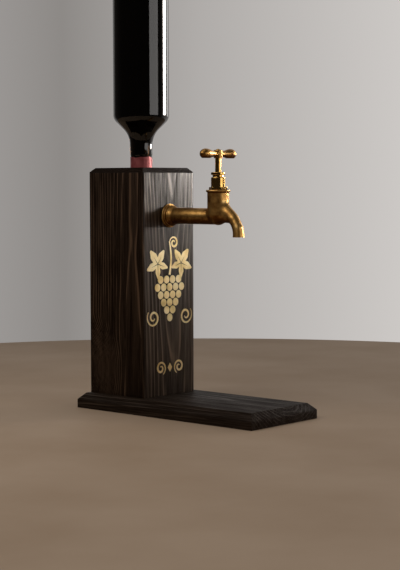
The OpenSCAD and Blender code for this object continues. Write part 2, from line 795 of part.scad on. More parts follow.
// Elbow that turns the water way up into the stopper
module outlet_elbow() {
    r = elbow_d / 2;
    tube_l = mouth_z + tube_rise - pipe_z;
    color([0.75, 0.62, 0.33]) difference() {
        union() {
            on_pipe(tower_mid) cylinder(h = tower_mid - elbow_y, r = r);
            on_bottle(pipe_z) sphere(r = r);
            on_bottle(pipe_z) cylinder(h = tube_l, d = tube_d);
        }
        on_pipe(elbow_y + tail_l + loose) cylinder(h = tail_l + loose + cut, r = tail_d / 2 + fit);
        on_pipe(tower_mid) cylinder(h = tower_mid - elbow_y, d = way_d);
        on_bottle(pipe_z) sphere(d = way_d);
        on_bottle(pipe_z) cylinder(h = tube_l + cut, d = tube_bore_d);
    }
}

// Rubber stopper: a flange under the mouth of the bottle and a plug inside it
module bottle_stopper() {
    plug_r = mouth_d / 2 - loose;
    color([0.75, 0.72, 0.66]) difference() {
        union() {
            on_bottle(ledge_z) cylinder(h = stopper_flange_t, d = stopper_flange_d);
            on_bottle(mouth_z - cut)
                cylinder(h = plug_l + cut, r1 = plug_r, r2 = plug_r - plug_taper / 2);
        }
        on_bottle(ledge_z - cut)
            cylinder(h = stopper_flange_t + plug_l + 2 * cut, r = tube_d / 2 + fit);
        on_bottle(ledge_z - cut) translate([vent_x, 0, 0])
            cylinder(h = stopper_flange_t + plug_l + 2 * cut, r = vent_d / 2 + fit / 2);
    }
}

// Air tube from under the stopper to the air space at the top of the upturned bottle
module vent_tube() {
    z = ledge_z - ledge_t + cut;
    color([0.80, 0.80, 0.80]) on_bottle(z) translate([vent_x, 0, 0])
        ring(vent_bore_d / 2, vent_d / 2, bottle_top - vent_end_gap - z);
}

// Bonnet: thread in the barrel, six-sided collar, polished drum and neck
module bonnet() {
    edge = 0.8;
    drum_r = bonnet_d / 2;
    color([0.72, 0.57, 0.30]) difference() {
        union() {
            on_tap(rim_z) hex_block(collar_af, collar_t);
            on_tap(0) rotate_extrude() polygon(concat([[0, thread_under],
                [bonnet_thread_d / 2, thread_under], [bonnet_thread_d / 2, rim_z],
                [drum_r, rim_z], [drum_r, neck_z - edge]],
                arc([drum_r - edge, neck_z - edge], edge, 0, 90, 4),
                [[neck_d / 2, neck_z], [neck_d / 2, gland_z], [0, gland_z]]));
        }
        on_tap(thread_under - cut)
            cylinder(h = stop_z - thread_under + cut, r = spindle_thread_d / 2 + fit);
        on_tap(stop_z - cut) cylinder(h = stuffing_z - stop_z + 2 * cut, r = spindle_d / 2 + 2 * fit);
        on_tap(stuffing_z) cylinder(h = gland_z - stuffing_z + cut, d = stuffing_d);
    }
}

module bonnet_washer() {
    r = bonnet_thread_d / 2 + fit;
    color([0.45, 0.20, 0.14]) on_tap(rim_z - bonnet_washer_t)
        ring(r, r + bonnet_washer_w, bonnet_washer_t);
}

module gland_washer() {
    color([0.75, 0.62, 0.33]) on_tap(stuffing_z)
        ring(spindle_d / 2 + 2 * fit, stuffing_d / 2 - fit, gland_washer_t);
}

module gland_packing() {
    z = stuffing_z + gland_washer_t;
    color([0.90, 0.90, 0.86]) on_tap(z)
        ring(spindle_d / 2 + fit, stuffing_d / 2 - fit, packing_top - z);
}

// Gland nut: a thin round head over a thread that presses on the packing
module gland_nut() {
    r = gland_d / 2;
    edge = 0.8;
    color([0.68, 0.53, 0.28]) difference() {
        union() {
            on_tap(packing_top) cylinder(h = gland_thread_l, r = stuffing_d / 2 - fit);
            on_tap(gland_z) rotate_extrude() polygon(concat([[0, gland_t], [0, 0]],
                arc([r - edge, edge], edge, -90, 0, 4),
                arc([r - edge, gland_t - edge], edge, 0, 90, 4)));
        }
        on_tap(packing_top - cut)
            cylinder(h = gland_thread_l + gland_t + 2 * cut, r = spindle_d / 2 + 2 * fit);
    }
}

module valve_washer() {
    color([0.10, 0.10, 0.10]) on_tap(seat_z) ring(pin_d / 2 + fit, disc_d / 2 - loose, seal_t);
}

// Loose valve: a disc with a stem that stands in the spindle and a pin that carries the washer
module jumper_valve() {
    color([0.75, 0.62, 0.33]) union() {
        on_tap(disc_z) cylinder(h = disc_t, d = disc_d);
        on_tap(disc_z) cylinder(h = disc_t + stem_l, d = stem_d);
        on_tap(seat_z - small_nut_t - loose)
            cylinder(h = seal_t + small_nut_t + loose + cut, d = pin_d);
    }
}

module washer_nut() {
    color([0.75, 0.62, 0.33]) on_tap(seat_z - small_nut_t)
        nut(small_nut_af, small_nut_t, pin_d / 2 + fit);
}

// Spindle: thread in the bonnet, plain stem through the gland, tenon in the handle
module spindle() {
    color([0.80, 0.68, 0.42]) difference() {
        union() {
            on_tap(spindle_z) cylinder(h = spindle_thread_l, d = spindle_thread_d);
            on_tap(thread_top - cut) cylinder(h = hub_z - thread_top + cut, d = spindle_d);
            on_tap(hub_z - cut) cylinder(h = tenon_l + cut, d = tenon_d);
        }
        on_tap(spindle_z - cut) cylinder(h = stem_l + 2 * cut, r = stem_d / 2 + fit);
        on_tap(hub_z) cylinder(h = tenon_l + cut, r = cap_shank_d / 2 + fit);
    }
}

// Outline of one arm of the handle, as [radius, distance from the hub's axis]
function arm_outline() = let (n = arm_d / 2, b = lobe_d / 2, foot = 0.5, waist = 2,
    y0 = hub_d / 2 + waist, end = handle_l / 2)
    concat([[n + foot, 0], [n + foot, hub_d / 2 - foot]],
        [for (i = [0:8]) let (t = i / 8)
            [n + (b - n) * (1 - cos(180 * t)) / 2, y0 + (lobe_out - y0) * t]],
        [for (i = [1:7]) let (a = 90 * i / 8)
            [b * cos(a), lobe_out + (end - lobe_out) * sin(a)]],
        [[0, end], [0, 0]]);

// Tee handle: a hub with two pear-shaped arms, which lie across the pipe when the tap is shut
module tee_handle() {
    edge = 1.4;
    color([0.58, 0.45, 0.23]) difference() {
        union() {
            on_tap(hub_z) rotate_extrude() polygon(concat([[0, hub_h], [0, 0], [hub_d / 2 - edge / 4, 0]],
                [[hub_d / 2, edge / 4]],
                arc([hub_d / 2 - edge, hub_h - edge], edge, 0, 90, 5)));
            for (s = [-1, 1]) on_tap(hub_z + arm_rise) rotate([0, s * 90, 0])
                rotate_extrude() polygon(arm_outline());
        }
        on_tap(hub_z - cut) cylinder(h = tenon_l + 2 * cut, r = tenon_d / 2 + fit);
        on_tap(hub_z) cylinder(h = hub_h + cut, r = cap_shank_d / 2 + fit);
    }
}

// Screw with a slotted dome that holds the handle on the spindle
module handle_screw() {
    r = cap_screw_d / 2;
    h = cap_screw_h;
    slot_w = 0.8;
    shank_z = hub_z + tenon_l / 3;
    dome_r = (r * r + h * h) / (2 * h);
    dome_a = asin(r / dome_r);
    color([0.62, 0.50, 0.27]) difference() {
        union() {
            on_tap(hub_z + hub_h) rotate_extrude() polygon(concat([[0, 0]],
                arc([0, h - dome_r], dome_r, 90 - dome_a, 90, 6)));
            on_tap(shank_z) cylinder(h = hub_z + hub_h + h / 3 - shank_z, d = cap_shank_d);
        }
        on_tap(hub_z + hub_h + h) cube([slot_w, cap_screw_d, h], center = true);
    }
}

// Glass of the upturned bottle: mouth at the bottom, punt at the top
module bottle_form() {
    mouth_r = mouth_d / 2;
    inner_r = body_r - glass_t;
    inner_sweep = sweep_r + glass_t;
    turn_r = body_r - round_r;
    in_join = [turn_r + (round_r - glass_t) * cos(shoulder_a), body_z - (round_r - glass_t) * sin(shoulder_a)];
    in_sweep_z = in_join[1] - inner_sweep * sin(shoulder_a)
        - (in_join[0] - mouth_r - inner_sweep * (1 - cos(shoulder_a))) / tan(shoulder_a);
    punt_r = (pow(punt_d / 2, 2) + punt_h * punt_h) / (2 * punt_h);
    punt_a = asin(min(1, punt_d / 2 / punt_r));
    in_heel = max(heel_r - glass_t, 1);
    outside = concat(
        [[mouth_r, mouth_z], [lip_d / 2, mouth_z], [lip_d / 2, mouth_z + lip_h],
            [neck_at(lip_h), mouth_z + lip_h], [neck_r, mouth_z + capsule_l]],
        arc([neck_root_d / 2 + sweep_r, sweep_z], sweep_r, 180, 180 - shoulder_a, 10),
        arc([turn_r, body_z], round_r, -shoulder_a, 0, 8),
        arc([body_r - heel_r, bottle_top - heel_r], heel_r, 0, 90, 6),
        arc([0, bottle_top - punt_h + punt_r], punt_r, punt_a - 90, -90, 10));
    inside = concat(
        arc([0, bottle_top - punt_h + punt_r], punt_r + glass_t, -90, punt_a - 90, 10),
        arc([inner_r - in_heel, bottle_top - glass_t - in_heel], in_heel, 90, 0, 4),
        arc([turn_r, body_z], round_r - glass_t, 0, -shoulder_a, 8),
        arc([mouth_r + inner_sweep, in_sweep_z], inner_sweep, 180 - shoulder_a, 180, 10));
    on_bottle(0) rotate_extrude() polygon(concat(outside, inside));
}

// The glass between two heights: the neck, the body with its shoulder, the foot with the punt
module glass_between(z0, z1) {
    color([0.06, 0.05, 0.04]) intersection() {
        bottle_form();
        on_bottle(z0) cylinder(h = z1 - z0, r = body_r + cut);
    }
}

module bottle_neck() {
    glass_between(mouth_z - cut, sweep_z);
}

module bottle_body() {
    glass_between(sweep_z, foot_z);
}

module bottle_foot() {
    glass_between(foot_z, bottle_top + cut);
}

// Foil capsule on the neck, open at the mouth
module bottle_capsule() {
    g = loose / 2;
    t = capsule_t;
    z = mouth_z + loose;
    lip_top = mouth_z + lip_h + g;
    low_r = neck_at(lip_h) + g;
    high_r = neck_at(capsule_l) + g;
    color([0.66, 0.38, 0.38]) on_bottle(0) rotate_extrude() polygon([
        [lip_d / 2 + g, z], [lip_d / 2 + g + t, z], [lip_d / 2 + g + t, lip_top + t],
        [low_r + t, lip_top + t], [high_r + t, mouth_z + capsule_l],
        [high_r, mouth_z + capsule_l], [low_r, lip_top], [lip_d / 2 + g, lip_top]]);
}

base_board();
front_board();
left_board();
right_board();
back_board();
top_board();
socket_block();
foot_block();
base_screws();
back_screws();
front_ornament();
lower_ornament();
tap_body();
wall_flange();
wall_washer();
backing_washer();
back_nut();
elbow_washer();
outlet_elbow();
bottle_stopper();
vent_tube();
bonnet();
bonnet_washer();
gland_washer();
gland_packing();
gland_nut();
valve_washer();
jumper_valve();
washer_nut();
spindle();
tee_handle();
handle_screw();
bottle_neck();
bottle_body();
bottle_foot();
bottle_capsule();
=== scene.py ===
import math

import bmesh
import bpy
import numpy as np
from mathutils import Matrix, Vector


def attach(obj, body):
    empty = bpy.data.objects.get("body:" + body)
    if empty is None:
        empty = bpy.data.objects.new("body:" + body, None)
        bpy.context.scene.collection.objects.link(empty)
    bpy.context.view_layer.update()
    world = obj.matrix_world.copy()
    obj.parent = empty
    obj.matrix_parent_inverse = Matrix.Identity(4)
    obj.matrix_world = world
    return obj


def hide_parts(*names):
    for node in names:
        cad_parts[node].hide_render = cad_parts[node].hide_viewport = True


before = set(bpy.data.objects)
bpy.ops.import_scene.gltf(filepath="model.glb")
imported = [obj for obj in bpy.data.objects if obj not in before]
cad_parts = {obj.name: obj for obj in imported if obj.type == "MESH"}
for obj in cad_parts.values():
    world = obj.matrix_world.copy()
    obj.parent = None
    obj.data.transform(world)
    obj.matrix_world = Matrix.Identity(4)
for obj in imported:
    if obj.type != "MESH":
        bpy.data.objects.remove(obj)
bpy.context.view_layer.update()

# Camera: where it stood for the photograph, low and in front of the left corner of the stand,
# with a long lens. The lens is found in pixels of the picture, and set across its width.
picture_width, lens_pixels, sensor = 400, 1505, 36
eye = Vector((-1.4614, -1.2958, 0.2982))
turn, drop, roll = math.radians(-48.672), math.radians(3.833), math.radians(-0.145)
back = Vector((math.sin(turn) * math.cos(drop), -math.cos(turn) * math.cos(drop), math.sin(drop)))
level = Vector((math.cos(turn), math.sin(turn), 0))
right = level * math.cos(roll) + back.cross(level) * math.sin(roll)
camera = bpy.data.objects.new("camera", bpy.data.cameras.new("camera"))
camera.matrix_world = Matrix.Translation(eye) @ Matrix((right, back.cross(right), back)).transposed().to_4x4()
camera.data.sensor_fit = "HORIZONTAL"
camera.data.sensor_width = sensor
camera.data.lens = sensor * lens_pixels / picture_width
bpy.context.scene.collection.objects.link(camera)
bpy.context.scene.camera = camera
bpy.context.scene.view_settings.view_transform = "Standard"


# Stage: a plain pale round table under soft studio light. A narrow key box on the right lights the
# front of the stand, a window box in front draws the strip on glass and brass, and three weaker
# boxes light the edges, the left and the top. The wall behind is grey, and the room in front dark.
MM = 0.001


def show(name, data):
    piece = bpy.data.objects.new(name, data)
    bpy.context.scene.collection.objects.link(piece)
    return piece


def finish_tree(name, holder=None):
    """Material, or another holder of shader nodes, with an empty node tree."""
    holder = holder or bpy.data.materials.new(name)
    holder.use_nodes = True
    holder.node_tree.nodes.clear()
    return holder


def put(holder, kind, inputs=None, **settings):
    """Adds a shader node. An input is a value, a node, or (node, name of its output)."""
    node = holder.node_tree.nodes.new("ShaderNode" + kind)
    for key, value in settings.items():
        setattr(node, key, value)
    for key, value in (inputs or {}).items():
        if isinstance(value, bpy.types.Node):
            value = (value, 0)
        if isinstance(value, tuple) and isinstance(value[0], bpy.types.Node):
            holder.node_tree.links.new(value[0].outputs[value[1]], node.inputs[key])
        else:
            node.inputs[key].default_value = value
    return node


def ramp(holder, fac, *stops):
    """Colour ramp through stops of (place, colour or grey)."""
    node = put(holder, "ValToRGB", {"Fac": fac})
    marks = node.color_ramp.elements
    while len(marks) < len(stops):
        marks.new(0.5)
    for mark, (place, colour) in zip(marks, stops):
        mark.position = place
        mark.color = (*colour, 1) if isinstance(colour, tuple) else (colour, colour, colour, 1)
    return node


def surface(holder, **inputs):
    """Closes a material with a principled shader; an input's name is written with low lines."""
    shader = put(holder, "BsdfPrincipled", {key.replace("_", " "): value for key, value in inputs.items()})
    put(holder, "OutputMaterial", {"Surface": shader})
    return holder


def turned(name, profile, centre=(0, 0, 0), direction=(0, 0, 1), seats=128):
    """Piece turned on a lathe. The profile is a closed line of (radius, place on the axis)."""
    spin = Vector((0, 0, 1)).rotation_difference(Vector(direction)).to_matrix()
    points, rows, faces = [], [], []
    for radius, along in profile:
        count = 1 if radius < 1e-6 else seats
        rows.append(range(len(points), len(points) + count))
        for i in range(count):
            a = 2 * math.pi * (i + 0.5) / seats
            spot = Vector((radius * math.cos(a), radius * math.sin(a), along))
            points.append((Vector(centre) + spin @ spot) * MM)
    for near, far in zip(rows, rows[1:] + rows[:1]):
        for i in range(seats):
            j = (i + 1) % seats
            corners = [near[i % len(near)], near[j % len(near)], far[j % len(far)], far[i % len(far)]]
            corners = list(dict.fromkeys(corners))
            if len(corners) > 2:
                faces.append(corners)
    mesh = bpy.data.meshes.new(name)
    mesh.from_pydata(points, [], faces)
    work = bmesh.new()
    work.from_mesh(mesh)
    bmesh.ops.recalc_face_normals(work, faces=work.faces)
    work.to_mesh(mesh)
    work.free()
    return show(name, mesh)


def bend(cx, cy, radius, start, end, steps=6):
    """Points along an arc, from one angle to another in degrees."""
    angles = [math.radians(start + (end - start) * i / steps) for i in range(steps + 1)]
    return [(cx + radius * math.cos(a), cy + radius * math.sin(a)) for a in angles]


def smoothed(piece, angle=35):
    piece.data.polygons.foreach_set("use_smooth", [True] * len(piece.data.polygons))
    piece.data.set_sharp_from_angle(angle=math.radians(angle))
    return piece


table_r, table_t, table_edge = 950, 30, 4
table = smoothed(turned("table", [(0, 0)] + bend(table_r, -table_edge, table_edge, 90, 0)
                        + [(table_r, -table_t), (0, -table_t)], seats=200))
table_top = finish_tree("table_top")
place = put(table_top, "TexCoord")
clouds = put(table_top, "TexNoise", {"Vector": (place, "Object"), "Scale": 5.0, "Detail": 4.0})
beige = ramp(table_top, (clouds, "Fac"), (0.35, (0.31, 0.225, 0.155)), (0.65, (0.36, 0.27, 0.195)))
surface(table_top, Base_Color=beige, Roughness=0.7, Specular_IOR_Level=0.2)
table.data.materials.append(table_top)

world = finish_tree("studio", bpy.data.worlds.new("studio"))
bpy.context.scene.world = world
path = put(world, "LightPath")
outward = put(world, "TexCoord")
across = put(world, "VectorMath", {0: (outward, "Generated"), 1: tuple(right)}, operation="DOT_PRODUCT")
across = put(world, "MapRange", {"Value": (across, "Value"), "From Min": -0.3, "From Max": 0.3})
wall = ramp(world, across, (0.1, (0.45, 0.43, 0.42)), (0.35, (0.265, 0.250, 0.238)),
            (0.5, (0.43, 0.41, 0.395)), (0.72, (0.60, 0.575, 0.555)))
wall_way = (0.906, 0.423, 0)
beyond = put(world, "VectorMath", {0: (outward, "Generated"), 1: wall_way}, operation="DOT_PRODUCT")
beyond = put(world, "MapRange", {"Value": (beyond, "Value"), "From Min": -1.0, "From Max": 1.0})
room = ramp(world, beyond, (0.3, (0.02, 0.018, 0.016)), (0.68, (0.05, 0.046, 0.042)),
            (0.78, (0.40, 0.385, 0.37)), (0.88, (0.565, 0.539, 0.521)))
behind = put(world, "Background", {"Color": wall, "Strength": 1.0})
mirrored = put(world, "Background", {"Color": room, "Strength": 1.0})
ambient = put(world, "Background", {"Color": (0.20, 0.185, 0.17, 1), "Strength": 1.0})
seen = put(world, "Math", {0: (path, "Is Camera Ray"), 1: (path, "Is Transmission Ray")}, operation="MAXIMUM")
gloss = put(world, "MixShader", {0: (path, "Is Glossy Ray"), 1: ambient, 2: mirrored})
put(world, "OutputWorld", {"Surface": put(world, "MixShader", {0: seen, 1: gloss, 2: behind})})


def soft_box(name, stands, aims, width, height, power, colour, spread=180):
    """Rectangular lamp. A small spread keeps its light from what is beside the aim."""
    light = bpy.data.lights.new(name, "AREA")
    light.shape = "RECTANGLE"
    light.size, light.size_y = width, height
    light.energy, light.color, light.spread = power, colour, math.radians(spread)
    lamp = show(name, light)
    lamp.location = stands
    lamp.rotation_euler = (Vector(aims) - Vector(stands)).to_track_quat("-Z", "Y").to_euler()


soft_box("key_box", (1.46, -0.60, 0.60), (0, 0, 0.52), 0.50, 0.50, 1.9, (1.0, 0.92, 0.84), spread=36)
soft_box("window_box", (0.22, -1.58, 0.55), (0, 0, 0.3), 1.15, 0.72, 5.6, (1.0, 0.96, 0.93))
soft_box("edge_box", (1.5, 0.1, 0.6), (0, 0, 0.3), 0.4, 0.7, 1.6, (1.0, 0.99, 0.97))
soft_box("left_box", (-1.22, 0.30, 1.20), (0, 0, 0.25), 1.9, 0.55, 10, (1.0, 0.95, 0.89))
soft_box("top_box", (-0.4, 0.3, 1.6), (0, 0.1, 0.2), 1.0, 1.4, 3.5, (1.0, 0.98, 0.95))


# Base board: one pine board, stained near black, with a wide bevel run round its top and the
# arrises eased. Four countersunk holes underneath take the screws that hold the tower.
base_w, base_l, base_t, base_bevel = 132, 302, 20, 8.6
tower_w, tower_d, tower_h, tower_front = 100, 100, 300, 43
tower_mid, tower_back, tower_top = tower_front + tower_d / 2, tower_front + tower_d, base_t + tower_h
base_screw_x, base_screw_y, base_arris = 16, 22, 0.7
screw_sink, screw_r, head_r, head_h = 0.5, 2.05, 4.05, 2.6
no_knot = (0, 0, 9)


def stained_pine(name, lie, pith, lean, spacing, deep, pale, rough=0.46, gloss=0.3, seed=0.0,
                 figure=0.6, knot=no_knot, soak=0.8):
    """Pine, brushed and stained. The growth rings run round a pith that leans in the board, and
    round a knot. End grain soaks up more of the stain."""
    wood = finish_tree(name)
    grain = put(wood, "Mapping", {"Vector": (put(wood, "TexCoord"), "Object"), "Rotation": lie})
    slow = put(wood, "Mapping", {"Vector": grain, "Scale": (1, 1, 0.2),
                                 "Location": (seed, seed * 0.7, seed * 1.3)})
    sway = put(wood, "TexNoise", {"Vector": slow, "Scale": 22.0, "Detail": 2.0})
    sway = put(wood, "VectorMath", {0: (sway, "Color"), 1: (0.5, 0.5, 0.5)}, operation="SUBTRACT")
    sway = put(wood, "VectorMath", {0: sway, "Scale": 0.007}, operation="SCALE")
    bent = put(wood, "VectorMath", {0: grain, 1: sway}, operation="ADD")
    apart = put(wood, "VectorMath", {0: grain, 1: knot}, operation="DISTANCE")
    swell = put(wood, "MapRange", {"Value": (apart, "Value"), "From Min": 0.075, "From Max": 0.005},
                interpolation_type="SMOOTHSTEP")
    aside = put(wood, "VectorMath", {0: (0.026, 0.026, 0), "Scale": swell}, operation="SCALE")
    bent = put(wood, "VectorMath", {0: bent, 1: aside}, operation="ADD")
    about = put(wood, "Mapping", {"Vector": bent, "Rotation": lean, "Location": (-pith[0], -pith[1], 0)})
    rings = put(wood, "TexWave", {"Vector": about, "Scale": 0.314 / spacing}, wave_type="RINGS",
                rings_direction="Z", wave_profile="SAW")
    late = ramp(wood, (rings, "Fac"), (0.0, 0.5), (0.07, 0.0), (0.62, 0.0), (0.86, 0.25), (0.94, 1.0),
                (1.0, 0.8))
    uneven = put(wood, "TexNoise", {"Vector": slow, "Scale": 75.0, "Detail": 1.5})
    strength = put(wood, "MapRange", {"Value": (uneven, "Fac"), "From Min": 0.35, "From Max": 0.65,
                                      "To Min": 0.1 * figure, "To Max": 1.5 * figure})
    thin = put(wood, "Mapping", {"Vector": bent, "Scale": (1, 1, 0.02), "Location": (seed, 0, seed)})
    fibre = put(wood, "TexNoise", {"Vector": thin, "Scale": 850.0, "Detail": 5.0, "Roughness": 0.7})
    broad = put(wood, "Mapping", {"Vector": bent, "Scale": (1, 1, 0.06), "Location": (0, seed, 0)})
    bands = put(wood, "TexNoise", {"Vector": broad, "Scale": 110.0, "Detail": 3.0})
    tone = put(wood, "Math", {0: (fibre, "Fac"), 1: 1.2, 2: -0.7}, operation="MULTIPLY_ADD")
    tone = put(wood, "Math", {0: (bands, "Fac"), 1: 0.5, 2: tone}, operation="MULTIPLY_ADD")
    tone = put(wood, "Math", {0: late, 1: (strength, 0), 2: tone}, operation="MULTIPLY_ADD", use_clamp=True)
    faces = put(wood, "Mapping", {"Vector": (put(wood, "TexCoord"), "Normal"), "Rotation": lie})
    across = put(wood, "Math", {0: (put(wood, "SeparateXYZ", {"Vector": faces}), "Z")}, operation="ABSOLUTE")
    dry = put(wood, "MapRange", {"Value": across, "From Min": 0.25, "From Max": 0.65,
                                 "To Min": 1.0, "To Max": 1 - soak})
    tone = put(wood, "Math", {0: tone, 1: (dry, 0)}, operation="MULTIPLY")
    colour = ramp(wood, tone, (0.08, deep), (0.95, pale))
    sheen = put(wood, "MapRange", {"Value": tone, "From Min": 0.05, "From Max": 0.6,
                                   "To Min": rough + 0.12, "To Max": rough - 0.08})
    wax = put(wood, "MapRange", {"Value": tone, "From Min": 0.0, "From Max": 0.6,
                                 "To Min": 0.1 * gloss, "To Max": gloss})
    relief = put(wood, "Math", {0: late, 1: 0.5, 2: (fibre, "Fac")}, operation="MULTIPLY_ADD")
    bump = put(wood, "Bump", {"Height": relief, "Strength": 0.35, "Distance": 0.0004})
    return surface(wood, Base_Color=colour, Roughness=(sheen, 0), Normal=bump, Specular_IOR_Level=(wax, 0))


def sawn(outline, low, high):
    """Board sawn to an outline in X and Y, between two heights."""
    work = bmesh.new()
    under = [work.verts.new((x * MM, y * MM, low * MM)) for x, y in outline]
    over = [work.verts.new((x * MM, y * MM, high * MM)) for x, y in outline]
    work.faces.new(under[::-1])
    work.faces.new(over)
    for i in range(len(outline)):
        j = (i + 1) % len(outline)
        work.faces.new((under[i], under[j], over[j], over[i]))
    return work


def planed(work, planes):
    """Planes off what lies beyond each (point, outward direction)."""
    for point, away in planes:
        everything = work.verts[:] + work.edges[:] + work.faces[:]
        cut = bmesh.ops.bisect_plane(work, geom=everything, dist=1e-7, plane_co=Vector(point) * MM,
                                     plane_no=Vector(away), clear_outer=True)
        rim = [e for e in cut["geom_cut"] if isinstance(e, bmesh.types.BMEdge)]
        if rim:
            bmesh.ops.edgenet_fill(work, edges=rim)
    bmesh.ops.recalc_face_normals(work, faces=work.faces)
    return work


def eased(work, width, steps=2, chosen=None):
    """Rounds off the sharp arrises, or the chosen ones."""
    if chosen is None:
        sharp = math.radians(22)
        chosen = [e for e in work.edges if len(e.link_faces) == 2 and e.calc_face_angle(0) > sharp]
    bmesh.ops.bevel(work, geom=chosen, offset=width * MM, segments=steps, profile=0.5,
                    affect="EDGES", clamp_overlap=True)
    bmesh.ops.recalc_face_normals(work, faces=work.faces)
    return work


def piece_of(work, name):
    mesh = bpy.data.meshes.new(name)
    work.to_mesh(mesh)
    work.free()
    return show(name, mesh)


def settled(piece):
    """Applies the modifiers of a piece."""
    bpy.context.view_layer.update()
    mesh = bpy.data.meshes.new_from_object(piece.evaluated_get(bpy.context.evaluated_depsgraph_get()))
    piece.modifiers.clear()
    old, piece.data = piece.data, mesh
    bpy.data.meshes.remove(old)
    return piece


def bored(piece, *drills):
    """Takes each drill out of a piece; the drills are used up."""
    for bit in drills:
        bore = piece.modifiers.new("bore", "BOOLEAN")
        bore.operation, bore.solver, bore.object = "DIFFERENCE", "EXACT", bit
        settled(piece)
        bpy.data.objects.remove(bit)
    return piece


def drill(radius, length, centre, direction, seats):
    return turned("drill", [(0, 0), (radius, 0), (radius, length), (0, length)], centre, direction, seats)


def screw_drill(centre, direction, length):
    """Drill for a countersunk screw, which starts in front of the board."""
    return turned("drill", [(0, -3), (head_r, -3), (head_r, screw_sink), (screw_r, screw_sink + head_h),
                            (screw_r, length), (0, length)], centre, direction, 48)


def hand_over(piece, material, slot, body, *nodes):
    """Gives a piece its material, and puts it in the place of its nodes of the frame."""
    piece.data.materials.clear()
    piece.data.materials.append(material)
    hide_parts(*nodes)
    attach(piece, body)
    return piece


along_y, along_x, standing = (math.radians(90), 0, 0), (0, math.radians(90), 0), (0, 0, 0)
base_pine = stained_pine("base_pine", along_y, pith=(0.012, -0.052), lean=(0.03, 0.015, 0),
                         spacing=0.0048, deep=(0.009, 0.0048, 0.0024), pale=(0.050, 0.031, 0.019),
                         rough=0.55, gloss=0.2, seed=3.1, figure=0.4, soak=0.1)
low_bevel, side, end = base_t - base_bevel, base_w / 2, base_l / 2
base = planed(sawn([(-side, -end), (side, -end), (side, end), (-side, end)], 0, base_t),
              [((side, 0, low_bevel), (1, 0, 1)), ((-side, 0, low_bevel), (-1, 0, 1)),
               ((0, end, low_bevel), (0, 1, 1)), ((0, -end, low_bevel), (0, -1, 1))])
base = piece_of(eased(base, base_arris, 3), "base_board_piece")
bored(base, *[screw_drill((sx * base_screw_x, tower_mid + sy * base_screw_y, 0), (0, 0, 1), base_t + 2)
              for sx in (-1, 1) for sy in (-1, 1)])
hand_over(smoothed(base, 30), base_pine, "base_wood", "stand", "base_board")


# Tower boards: four upright pine boards, mitred at the front corners, with a square board let in
# on top and one bevel run round them all. They are stained near black and lightly brushed.
wall_t, top_t, top_bevel, corner_r = 16, 18, 6.8, 4
half, inner = tower_w / 2, tower_w / 2 - wall_t
inner_front, inner_back = tower_front + wall_t, tower_back - wall_t
bevel_z = tower_top - top_bevel
tower_planes = [((half, 0, bevel_z), (1, 0, 1)), ((-half, 0, bevel_z), (-1, 0, 1)),
                ((0, tower_front, bevel_z), (0, -1, 1)), ((0, tower_back, bevel_z), (0, 1, 1))]
front_corner_y, back_corner_y = tower_front + corner_r, tower_back - corner_r
pipe_z, pipe_hole_r, back_screw_x, back_screw_zs = 257, 10.75, 24, (29, 284.5)
bevel_round, tower_arris, socket_r, socket_lip = 3.8, 0.3, 15.6, 0.8


def bevel_arrises(work):
    """The arrises above and below the bevel at the tower's top."""
    chosen = []
    for edge in work.edges:
        if len(edge.link_faces) != 2 or min(v.co.z for v in edge.verts) < (bevel_z - 3) * MM:
            continue
        a, b = (f.normal for f in edge.link_faces)
        if (0.3 < a.z < 0.9) != (0.3 < b.z < 0.9) and abs(a.dot(b) - math.sqrt(0.5)) < 0.1:
            chosen.append(edge)
    return chosen


def tower_board(name, outline, low=base_t):
    work = planed(sawn(outline, low, tower_top), tower_planes)
    arrises = bevel_arrises(work)
    if arrises:
        eased(work, bevel_round, 6, arrises)
    return piece_of(eased(work, tower_arris), name)


left_outline = ([(-half, back_corner_y)] + bend(-half + corner_r, front_corner_y, corner_r, 180, 225, 4)
                + [(-inner, inner_front), (-inner, tower_back)]
                + bend(-half + corner_r, back_corner_y, corner_r, 90, 180, 8)[:-1])
front_outline = (bend(-half + corner_r, front_corner_y, corner_r, 225, 270, 4)
                 + bend(half - corner_r, front_corner_y, corner_r, -90, -45, 4)
                 + [(inner, inner_front), (-inner, inner_front)])
back_outline = [(-inner, inner_back), (inner, inner_back), (inner, tower_back), (-inner, tower_back)]
top_outline = [(-inner, inner_front), (inner, inner_front), (inner, inner_back), (-inner, inner_back)]
front_board = tower_board("front_board_piece", front_outline)
bored(front_board, drill(pipe_hole_r, 30, (0, tower_front - 5, pipe_z), (0, 1, 0), 96))
left_board = tower_board("left_board_piece", left_outline)
right_board = tower_board("right_board_piece", [(-x, y) for x, y in reversed(left_outline)])
back_board = tower_board("back_board_piece", back_outline)
bored(back_board, *[screw_drill((sx * back_screw_x, tower_back, z), (0, -1, 0), 20)
                    for sx in (-1, 1) for z in back_screw_zs])
top_board = tower_board("top_board_piece", top_outline, tower_top - top_t)
lip_r = socket_r + socket_lip
bored(top_board, turned("drill", [(0, -25), (socket_r, -25), (socket_r, -socket_lip), (lip_r, 0), (lip_r, 5),
                                  (0, 5)], (0, tower_mid, tower_top), (0, 0, 1), 96))

